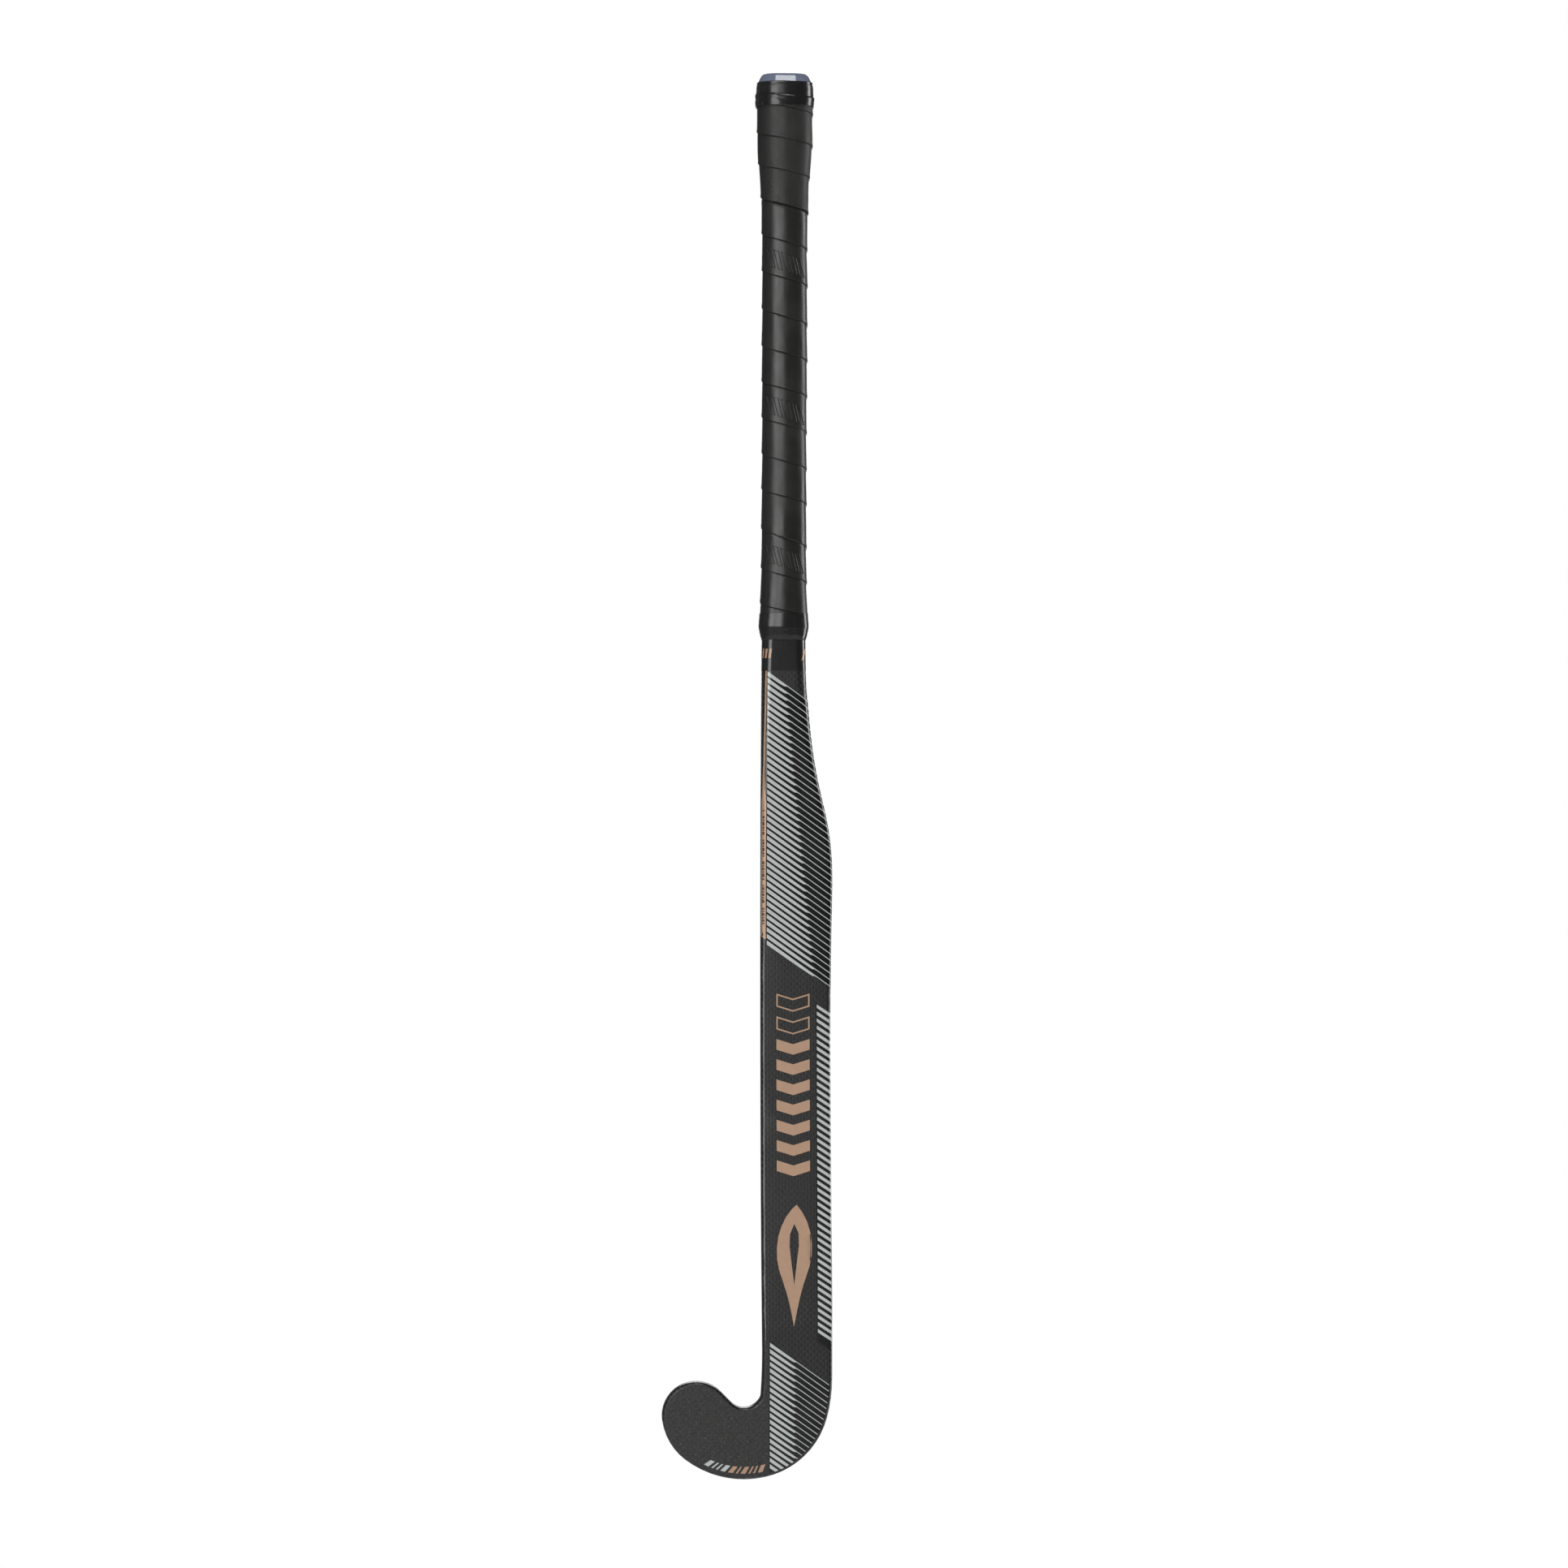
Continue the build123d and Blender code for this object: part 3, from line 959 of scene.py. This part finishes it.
@dataclass
class PrintShapes:
    """Plain printed shapes, each laid on the surface from a short list of corners. Sizes are in mm."""

    name: str
    skin: Skin
    finish: Finish
    slot: str
    lift: float = 0.07  # how far above the surface they lie, in mm
    wall: float = 0.05
    _bm: Sheet = field(default_factory=bmesh.new)

    def add(
        self, corners: Sequence[Point], frame: float = 0.0, cuts: Point = (4.0, 6.0)
    ) -> None:
        """Adds one shape.

        Args:
            corners: places across and up, in mm, in order.
            frame: width of its line where only an outline is printed, or 0 for a solid shape.
            cuts: how far apart it is divided across and up, in mm, so that it follows the surface.
        """
        own = bmesh.new()
        face = own.faces.new([own.verts.new((x, 0.0, up)) for x, up in corners])
        own.normal_update()
        if frame:
            keep_rim(own, face, frame)
        for way, step in ((Vector((1, 0, 0)), cuts[0]), (Vector((0, 0, 1)), cuts[1])):
            values = [vert.co.dot(way) for vert in own.verts]
            place = min(values) + step
            while place < max(values):
                everything = own.verts[:] + own.edges[:] + own.faces[:]
                bmesh.ops.bisect_plane(own, geom=everything, dist=0.0001, plane_co=way * place, plane_no=way)
                place += step
        for vert in own.verts:
            vert.co = self.skin.wrap(vert.co.x, vert.co.z, self.lift)
        face_outwards(own)
        pour(own, self._bm)

    def build(self) -> bpy.types.Object:
        """Returns the piece made from every shape added."""
        return finish_piece(self.name, self._bm, self.finish, smooth_angle=0.0, wall=self.wall * MM)


@dataclass
class Prints:
    """All that is printed on the stick. Corners are places across and up, in mm."""

    skin: Skin
    strip: Points = (
        (-12.6, 533.0), (-13.9, 470.0), (-14.6, 452.0), (-15.2, 446.0), (-15.2, 357.6),
        (-11.5, 355.0), (-11.5, 447.0), (-12.6, 454.0), (-12.5, 470.0), (-11.5, 533.0),
    )
    dash_sides: Point = (-14.0, -12.6)  # the dashes' two sides, across
    dash_span: Point = (441.0, 366.0)  # heights between which the dashes lie
    dash_lengths: tuple[float, ...] = (0.9, 1.6, 0.9, 2.4, 1.2, 0.8, 1.9)
    dash_gaps: Point = (0.7, 3.2)  # the gap after a dash, and the longer one after every sixth
    chevron_x: tuple[float, float, float] = (-4.6, 6.4, 17.4)
    chevron_nose: float = 3.4  # how far their points reach down
    # top of the first, step, count, height and line width of those in outline
    open_chevrons: tuple[float, float, int, float, float] = (319.4, 15.0, 2, 12.0, 0.95)
    solid_chevrons: tuple[float, float, int, float, float] = (289.4, 13.3, 7, 10.4, 0.0)
    leaf_side: Points = (  # the crook side of the leaf, from its tip down
        (5.2, 177.5), (1.4, 172.5), (-1.6, 166.5), (-3.8, 159.5), (-4.8, 152.0), (-4.6, 144.5),
        (-3.2, 137.5), (-0.9, 130.5), (1.4, 123.5), (3.4, 116.0), (5.0, 108.5), (6.4, 100.5),
    )
    leaf_turn: Point = (13.6, 3.0)  # what turns that side into the other one, across and up
    leaf_hole: Points = (
        (6.8, 168.0), (3.9, 161.0), (3.6, 153.0), (6.6, 128.0), (9.8, 154.0), (9.6, 162.0),
    )
    sole_centre: Point = (-26.1, 64.5)
    # radius and lean, in degrees, of the bars' outer and inner ends
    sole_rims: tuple[Point, Point] = ((60.5, -0.6), (56.0, 2.2))
    # widths of the bars, in degrees
    sole_widths: tuple[float, ...] = (3.0, 1.1, 1.1, 3.0, 3.0, 1.1, 3.0, 1.1, 1.1, 3.0)
    sole_start: float = 244.4  # direction of the first bar, in degrees
    sole_gap: float = 1.9
    sole_silver: int = 4  # how many of them are silver
    collar_bars: tuple[float, ...] = (-15.2, -12.4, -9.6)  # where the collar's bars start, across
    collar_span: Point = (547.6, 541.4)
    collar_wedge: Points = (
        (11.6, 539.4), (14.2, 541.6), (16.4, 548.0), (13.2, 546.4), (12.8, 543.2),
    )

    def stripes(self) -> None:
        """Builds the three striped fields."""
        ShaftStripes(
            "upper_stripes", self.skin, start=-10.9, first=532.6, pitch=4.34, count=42, slope=0.72, thick=2.85,
            thin=0.66, turn=1.2892, drift=0.108,
        ).build()
        HeelStripes(
            "heel_stripes", self.skin, start=-9.4, first=90.2, pitch=4.21, count=20, slope=0.711, thick=2.6,
            thin=0.62, turn=7.3, end=30.4, fray=1.1,
        ).build()
        StripeFan(
            "edge_stripes", self.skin, start=22.2, first=312.2, pitch=4.632, count=47, slope=0.66, thick=2.25,
            thin=2.25, turn=60.0, end=31.4, steps=12,
        ).build()

    def side_strip(self) -> None:
        """Builds the bronze line that widens into a strip, and the small dark dashes on it."""
        strip = PrintShapes("bronze_side_strip", self.skin, Shelf.bronze, "bronze_film")
        strip.add(self.strip, cuts=(0.4, 9.0))
        strip.build()
        dashes = PrintShapes("strip_dashes", self.skin, Shelf.ink, "bronze_film", lift=0.14, wall=0.03)
        left, right = self.dash_sides
        up, last = self.dash_span
        index = 0
        while up > last:
            low = up - self.dash_lengths[index % len(self.dash_lengths)]
            dashes.add([(left, up), (left, low), (right, low), (right, up)], cuts=(0.4, 3.0))
            up = low - self.dash_gaps[0 if index % 6 else 1]
            index += 1
        dashes.build()

    def motif(self) -> None:
        """Builds the bronze pattern down the blade: chevrons, a leaf and the hole in it."""
        motif = PrintShapes("bronze_motif", self.skin, Shelf.bronze, "bronze_film")
        left, middle, right = self.chevron_x
        nose = self.chevron_nose
        for first, step, count, tall, frame in (self.open_chevrons, self.solid_chevrons):
            for index in range(count):
                up = first - index * step
                low = up - tall
                upper = [(right, low + nose), (right, up), (middle, up - nose)]
                motif.add([(left, up), (left, low + nose), (middle, low)] + upper, frame=frame)
        across, higher = self.leaf_turn
        other = [(across - x, up + higher) for x, up in reversed(self.leaf_side[:-1])]
        motif.add(list(self.leaf_side) + other, cuts=(4.0, 5.0))
        motif.build()
        hole = PrintShapes("motif_notch", self.skin, Shelf.carbon, "carbon_laminate", lift=0.15, wall=0.03)
        hole.add(self.leaf_hole, cuts=(4.0, 5.0))
        hole.build()

    def sole_marks(self) -> None:
        """Builds the small slanted bars along the sole."""
        silver = PrintShapes("sole_marks_silver", self.skin, Shelf.silver, "printed_film")
        bronze = PrintShapes("sole_marks_bronze", self.skin, Shelf.bronze, "bronze_film")
        (outer, outer_lean), (inner, inner_lean) = self.sole_rims
        turn = self.sole_start
        for index, wide in enumerate(self.sole_widths):
            ends = ((outer, outer_lean), (outer, outer_lean + wide), (inner, inner_lean + wide), (inner, inner_lean))
            corners = []
            for radius, lean in ends:
                angle = math.radians(turn + lean)
                x, up = self.sole_centre
                corners.append((x + radius * math.cos(angle), up + radius * math.sin(angle)))
            (silver if index < self.sole_silver else bronze).add(corners, cuts=(3.0, 3.0))
            turn += wide + self.sole_gap
        silver.build()
        bronze.build()

    def collar_marks(self) -> None:
        """Builds the small bronze marks on the black collar."""
        marks = PrintShapes("collar_marks", self.skin, Shelf.bronze, "bronze_film")
        up, low = self.collar_span
        for x in self.collar_bars:
            marks.add([(x, up), (x - 0.9, low), (x + 0.6, low), (x + 1.5, up)], cuts=(0.5, 4.0))
        marks.add(self.collar_wedge, cuts=(0.5, 4.0))
        marks.build()

    def build(self) -> None:
        """Builds every print."""
        self.stripes()
        self.side_strip()
        self.motif()
        self.sole_marks()
        self.collar_marks()


# ---- wrapped handle ----


@dataclass
class Sleeve:
    """A sleeve round the handle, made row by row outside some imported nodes."""

    skin: Skin
    around: int = 120  # how many points go round it
    crown: float = 0.0  # how much fuller the middle of the front and back is than the surface, in mm
    crown_width: float = 5.5  # how wide that fuller part is, in mm
    girth: float = 0.096  # the way round the handle on the UV map, in metres
    span: Point = (534.5, 926.5)  # heights between which the surface is measured, in mm
    _middles: dict[int, float] = field(default_factory=dict, init=False)

    def outside(self, share: float, up: float) -> tuple[Vector, Vector]:
        """Finds the surface at a share of the way round, from the middle of the back.

        Args:
            share: how far round, 0 to 1.
            up: height above the hook's lowest point, in mm.

        Returns:
            The point and the direction out of the handle.
        """
        z = FLOOR_Z + up * MM
        key = round(up * 4)
        if key not in self._middles:
            back = self.skin.hit(Vector((0, FAR, z)), Vector((0, -1, 0))).y
            self._middles[key] = (self.skin.front(0.0, z) + back) / 2
        middle = Vector((0, self._middles[key], z))
        turn = math.pi / 2 + 2 * math.pi * share
        out = Vector((math.cos(turn), math.sin(turn), 0))
        found = self.skin.hit(middle + out * 0.08, -out)
        point = found if found is not None else middle + out * 0.014
        crown = self.crown * math.exp(-((point.x / (self.crown_width * MM)) ** 2)) * MM
        return point + out * crown, out

    def grid(
        self, rows: Sequence[float], place: Callable[[float, float], Point]
    ) -> Sheet:
        """Makes the sleeve as one sheet joined round the back.

        Args:
            rows: a number for each row, from the lowest.
            place: gives a point's height in mm and its height above the surface in mm, from the share round and the
                row's number.

        Returns:
            The sheet, with a UV map of the way round and up, in metres.
        """
        bm = bmesh.new()
        made = bmesh.ops.create_grid(bm, x_segments=self.around, y_segments=len(rows) - 1, size=1.0)
        flat = bm.loops.layers.uv.new("wrap")
        home: dict[bmesh.types.BMVert, Point] = {}
        for vert in made["verts"]:
            share = (vert.co.x + 1) / 2
            row = rows[round((vert.co.y + 1) / 2 * (len(rows) - 1))]
            up, lift = place(share, row)
            point, out = self.outside(share, min(max(up, self.span[0]), self.span[1]))
            vert.co = Vector((point.x, point.y, FLOOR_Z + up * MM)) + out * lift * MM
            home[vert] = (share * self.girth, up * MM)
        for face in bm.faces:
            for loop in face.loops:
                loop[flat].uv = home[loop.vert]
        bmesh.ops.remove_doubles(bm, verts=bm.verts, dist=0.00001)
        bm.normal_update()
        tester = min(bm.faces, key=lambda face: face.calc_center_median().y)
        if tester.normal.y > 0:
            bmesh.ops.reverse_faces(bm, faces=bm.faces)
        return bm


@dataclass
class SpiralWrap:
    """Grip tape wound up the handle, each turn's lower edge lying over the turn below. Sizes are in mm."""

    skin: Skin
    seams: tuple[float, ...] = (  # heights of the turns' lower edges on the heel side, in mm
        566.8, 589.9, 613.0, 641.9, 664.9, 689.0, 712.7, 736.3, 759.8, 785.6, 809.6, 834.2, 857.3, 878.2,
    )
    heel_share: float = 0.75  # how far round the heel side is
    ribbed_from: int = 11  # the turn where the ribbed tape starts
    foot: float = 558.0
    top: float = 913.0
    wall: float = 1.1
    # where the rows lie across one turn
    phases: tuple[float, ...] = (0.0, 0.008, 0.022, 0.05, 0.12, 0.25, 0.4, 0.55, 0.7, 0.84, 0.94, 0.985)

    def height(self, turn: float) -> float:
        """Returns the height of a place along the tape, counted in turns from the first seam."""
        low = min(max(math.floor(turn), 0), len(self.seams) - 2)
        return spread(self.seams[low], self.seams[low + 1], turn - low)

    def proud(self, phase: float, share: float, row: float) -> float:
        """Returns how far the tape's face stands off the plain sleeve, in mm.

        Args:
            phase: place across one turn, from its lower edge.
            share: place round the handle.
            row: the turn and phase together.

        Returns:
            The height in mm.
        """
        if phase < self.phases[1] / 2:
            return -0.42
        crown = 0.30 - 0.50 * phase
        edge = 0.16 * math.exp(-(((phase - 0.045) / 0.035) ** 2))
        rim = -0.30 if phase < 0.012 else 0.0
        turn = 2 * math.pi * share
        where = Vector((math.cos(turn) * 1.4, math.sin(turn) * 1.4, row * 0.9))
        soft = 0.16 * noise.noise(where) + 0.07 * noise.noise(where * 3.1)
        return crown + edge + rim + soft

    def wind(
        self, name: str, node: str, finish: Finish, rows: Sequence[float], extra: float, tuck_from: float = math.inf
    ) -> bpy.types.Object:
        """Winds one stretch of tape.

        Args:
            name: the piece's name.
            node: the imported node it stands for.
            finish: its finish.
            rows: its rows, counted in turns.
            extra: how much prouder it stands than the plain tape, in mm.
            tuck_from: the row from which it lies under the next stretch.

        Returns:
            The piece.
        """

        def place(share: float, row: float) -> Point:
            """Returns a point's height and how far it stands off the surface, in mm."""
            up = self.height(row - (share - self.heel_share))
            return up, self.proud(row - math.floor(row), share, row) + extra - (0.5 if row > tuck_from else 0.0)

        bm = Sleeve(self.skin, crown=0.9).grid(rows, place)
        for up, way in ((self.foot, Vector((0, 0, -1))), (self.top, Vector((0, 0, 1)))):
            everything = bm.verts[:] + bm.edges[:] + bm.faces[:]
            at = Vector((0, 0, FLOOR_Z + up * MM))
            bmesh.ops.bisect_plane(bm, geom=everything, plane_co=at, plane_no=way, clear_outer=True)
        piece = finish_piece(name, bm, finish, smooth_angle=38.0, wall=-self.wall * MM)
        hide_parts(node)
        return piece

    def build(self) -> bpy.types.Object:
        """Winds the smooth and the ribbed stretch.

        Returns:
            The smooth piece.
        """
        rows = [turn + phase for turn in range(-2, 16) for phase in self.phases]
        low = [row for row in rows if row <= self.ribbed_from + 0.3]
        high = [row for row in rows if row >= self.ribbed_from]
        smooth = self.wind("smooth_grip_wrap", "smooth_grip", Shelf.grip, low, 0.0, self.ribbed_from - 0.02)
        self.wind("ribbed_grip_wrap", "ribbed_grip", Shelf.ribbed, high, 0.12)
        return smooth


@dataclass
class Emboss:
    """Groups of slanted bars in outline, pressed into the grip tape. Sizes are in mm."""

    grip: bpy.types.Object
    groups: tuple[float, ...] = (802.0, 705.0, 607.0)  # heights of the groups' middles, in mm
    bars: tuple[float, ...] = (-9.6, -4.8, 0.0, 4.8, 9.6)  # where the bars of a group lie, across
    line: float = 0.5
    wall: float = 0.16

    def build(self) -> None:
        """Lays the groups on the tape."""
        tree = BVHTree.FromObject(self.grip, bpy.context.evaluated_depsgraph_get())
        bm = bmesh.new()
        for middle in self.groups:
            for x in self.bars:
                at = middle - 0.32 * x
                corners = ((x - 3.2, at + 7.0), (x + 0.2, at + 6.0), (x + 3.2, at - 7.0), (x - 0.2, at - 6.0))
                own = bmesh.new()
                face = own.faces.new([own.verts.new((x * MM, 0, FLOOR_Z + up * MM)) for x, up in corners])
                own.normal_update()
                bmesh.ops.subdivide_edges(own, edges=own.edges[:], cuts=8)
                keep_rim(own, face, self.line * MM)
                for vert in own.verts:
                    found = tree.ray_cast(Vector((vert.co.x, -FAR, vert.co.z)), Vector((0, 1, 0)))
                    if found[0] is not None:
                        vert.co = found[0] + found[1] * 0.02 * MM
                face_outwards(own)
                pour(own, bm)
        finish_piece("grip_emboss", bm, Shelf.grip, smooth_angle=60.0, wall=self.wall * MM)


@dataclass
class StretchedTape:
    """A band of stretched vinyl tape with folds, round one end of the grip. Sizes are in mm."""

    name: str
    node: str
    skin: Skin
    low: float
    high: float
    proud: Callable[[float], float]  # how far it stands off at a share of the way up, in mm
    fold: float  # depth of its folds, in mm
    slant: float  # how much the folds run up as they go round
    finish: Finish = Shelf.vinyl
    lap: float = 0.0  # how proud the tape's free end stands, in mm
    crown: float = 0.0  # how much fuller its front and back are, in mm
    step: float = 0.0  # how much prouder its lower, folded half stands, in mm
    around: int = 168
    rows: int = 30
    wall: float = 0.45

    def place(self, share: float, row: float) -> Point:
        """Places one point of the band.

        Args:
            share: how far round, 0 to 1.
            row: how far up the band, 0 to 1.

        Returns:
            Its height and how far it stands off the surface, in mm.
        """
        turn = 2 * math.pi * share
        east, north = math.cos(turn), math.sin(turn)
        rise = self.slant * share
        where = Vector((east * 1.6, north * 1.6, row * 2.2 + rise))
        crease = noise.noise(Vector((where.x * 0.9, where.y * 0.9, row * 4.5 + rise * 2)))
        wave = 0.55 * noise.noise(where * 1.5) + 0.6 * (1 - min(abs(crease) * 6, 1.0))
        ends = ease(min(row, 1 - row) * 9)
        uneven = 0.35 * noise.noise(Vector((east * 2, north * 2, 5.0 + row))) * (1.0 - 0.4 * ends)
        lap = self.lap * ease((share - 0.33) * 40) * ease((0.375 - share) * 60)
        shoulder = 0.52 + 0.10 * math.sin(turn + 0.6) + 0.05 * noise.noise(where) - row
        calm = 0.25 + 0.75 * ease(shoulder * 10) if self.step else 1.0
        folds = self.fold * wave * (0.35 + 0.65 * ends) * calm
        up = spread(self.low, self.high, row) + uneven
        return up, self.proud(row) + folds + lap + self.step * ease(shoulder * 16)

    def build(self) -> None:
        """Builds the band."""
        sleeve = Sleeve(self.skin, around=self.around, crown=self.crown)
        bm = sleeve.grid([index / self.rows for index in range(self.rows + 1)], self.place)
        piece = finish_piece(self.name, bm, self.finish, smooth_angle=50.0, wall=-self.wall * MM)
        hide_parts(self.node)


@dataclass
class EndCap:
    """The tapered translucent cap: a flange, a sloping wall and a flat top with a shallow dish. Sizes are in mm."""

    skin: Skin
    rows: Points = (  # height of each row and how far it stands off the surface, in mm
        (915.2, -0.3), (918.0, -0.3), (920.8, -0.3), (921.3, -0.05), (923.4, -0.05), (925.3, -0.05), (925.9, -0.1),
        (926.4, -0.25), (926.8, -0.6), (927.0, -1.3),
    )
    split: float = 920.0  # a height between its two open ends, in mm
    rim: float = 4.2  # width of the flat round the dish, in mm
    dish: float = 0.5  # depth of the dish and run of its edge, in mm

    def build(self) -> None:
        """Builds the cap."""
        sheet = Sleeve(self.skin, around=96).grid(range(len(self.rows)), lambda share, row: self.rows[row])
        rim = [edge for edge in sheet.edges if edge.is_boundary]
        low = [edge for edge in rim if edge.verts[0].co.z < FLOOR_Z + self.split * MM]
        high = [edge for edge in rim if edge.verts[0].co.z > FLOOR_Z + self.split * MM]
        bmesh.ops.holes_fill(sheet, edges=low, sides=0)
        lid = bmesh.ops.holes_fill(sheet, edges=high, sides=0)["faces"]
        bmesh.ops.inset_region(sheet, faces=lid, thickness=self.rim * MM, depth=0.0, use_boundary=False)
        bmesh.ops.inset_region(sheet, faces=lid, thickness=self.dish * MM, depth=-self.dish * MM)
        bmesh.ops.recalc_face_normals(sheet, faces=sheet.faces[:])
        piece = finish_piece("handle_end_cap", sheet, Shelf.cap, smooth_angle=32.0)
        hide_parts("end_cap")


class WrappedHandle:
    """Everything on the handle, from the lower finishing tape to the cap."""

    def build(self) -> None:
        """Builds the wraps, their emboss, both tapes and the cap."""
        covers = ["carbon_shell", "smooth_grip", "ribbed_grip", "end_cap"]
        Emboss(SpiralWrap(Skin(covers)).build()).build()
        StretchedTape(
            "top_finishing_tape", "top_tape", Skin(covers + ["collar_band"]), 905.4, 921.4,
            proud=lambda row: 0.45 + 0.3 * ease(row * 6) * ease((1 - row) * 5),
            fold=0.34, slant=1.3, lap=0.7, crown=0.5, step=0.5,
        ).build()
        StretchedTape(
            "lower_finishing_tape", "lower_tape", Skin(["carbon_shell", "collar_band", "lower_tape"]), 553.4, 571.6,
            proud=lambda row: 0.02 + 0.3 * ease(row * 5) * ease((1 - row) * 2),
            fold=0.06, slant=-0.6, finish=Shelf.soft_vinyl, crown=0.9,
        ).build()
        EndCap(Skin(["end_cap"])).build()


# ---- room ----


def facing(way: Vector) -> Sequence[float]:
    """Returns the turn of a camera or lamp that looks along a direction."""
    return way.to_track_quat("-Z", "Y").to_euler()


@dataclass(frozen=True)
class Softbox:
    """A rectangular lamp: its place, its width and height, in metres, and its power in watts."""

    name: str
    place: tuple[float, float, float]
    size: Point
    power: float

    def hang(self, aim: Vector) -> None:
        """Hangs the lamp.

        Args:
            aim: the point that it faces.
        """
        data = bpy.data.lights.new(self.name, "AREA")
        data.shape = "RECTANGLE"
        data.size, data.size_y = self.size
        data.energy = self.power
        lamp = set_out(self.name, data)
        lamp.location = self.place
        lamp.rotation_euler = facing(aim - Vector(self.place))


@dataclass
class Studio:
    """Camera, soft lights and a pale floor. Sizes are in metres."""

    azimuth: float = -3.0  # how far the camera stands round from the playing side, in degrees
    distance: float = 3.75
    frame_width: float = 1.0375  # how much it sees across at the stick, in metres
    sensor: float = 36.0
    aim: Vector = field(default_factory=lambda: Vector((0.0002, 0.0, -0.342)))
    roll: float = 0.083  # how far it leans, in degrees
    floor_drop: float = 0.25  # how far the floor lies under the stick, in metres
    floor_radius: float = 1.3
    cast: float = 0.11  # how bright the surround lights the stick
    lamps: tuple[Softbox, ...] = (
        Softbox("front_softbox", (-1.05, -2.45, 0.1), (1.5, 2.4), 46.0),
        Softbox("right_softbox", (2.15, 0.45, -0.2), (0.7, 2.4), 30.0),
        Softbox("left_fill", (-2.4, -0.5, 0.2), (0.5, 2.0), 0.9),
        Softbox("top_softbox", (0.07, -1.35, 2.45), (1.2, 0.7), 15.0),
        Softbox("back_softbox", (0.4, 2.6, 0.6), (1.6, 2.0), 20.0),
    )

    def camera(self) -> None:
        """Places the camera on the playing side, level with the middle of the stick."""
        data = bpy.data.cameras.new("camera")
        data.sensor_width = self.sensor
        data.lens = self.sensor * self.distance / self.frame_width
        data.clip_end = 60.0
        camera = set_out("camera", data)
        turn = math.radians(self.azimuth)
        back = Vector((math.sin(turn), -math.cos(turn), 0.0))
        camera.location = self.aim + back * self.distance
        camera.rotation_euler = facing(-back)
        camera.rotation_euler.rotate_axis("Z", math.radians(self.roll))
        bpy.context.scene.camera = camera

    def floor(self) -> None:
        """Lays the floor."""
        bm = bmesh.new()
        bmesh.ops.create_circle(bm, cap_ends=True, segments=96, radius=self.floor_radius)
        bmesh.ops.translate(bm, verts=bm.verts, vec=Vector((0, 0, FLOOR_Z - self.floor_drop)))
        mesh = bpy.data.meshes.new("floor")
        bm.to_mesh(mesh)
        bm.free()
        mesh.materials.append(Shelf.floor.material())
        set_out("floor", mesh)

    def surround(self) -> None:
        """Sets an even white surround, which the camera sees brighter than it lights the stick."""
        world = bpy.data.worlds.new("surround")
        world.use_nodes = True
        world.node_tree.nodes.clear()
        kit = Nodes(world.node_tree)
        white = rgba((1.0, 1.0, 1.0))
        seen = kit.add("Background", {"Color": white, "Strength": 1.0})
        cast = kit.add("Background", {"Color": white, "Strength": self.cast})
        both = kit.add("MixShader", {0: kit.add("LightPath")["Is Camera Ray"], 1: cast[0], 2: seen[0]})
        kit.add("OutputWorld", {0: both[0]})
        bpy.context.scene.world = world
        bpy.context.scene.view_settings.view_transform = "Standard"

    def build(self) -> None:
        """Sets up the camera, the lamps and the room."""
        self.camera()
        for lamp in self.lamps:
            lamp.hang(self.aim)
        self.floor()
        self.surround()


def main() -> None:
    """Builds the stick and its room."""
    Studio().build()
    stick = MouldedStick()
    stick.build()
    Prints(Skin(list(stick.dressed))).build()
    WrappedHandle().build()


if __name__ == "__main__":
    main()
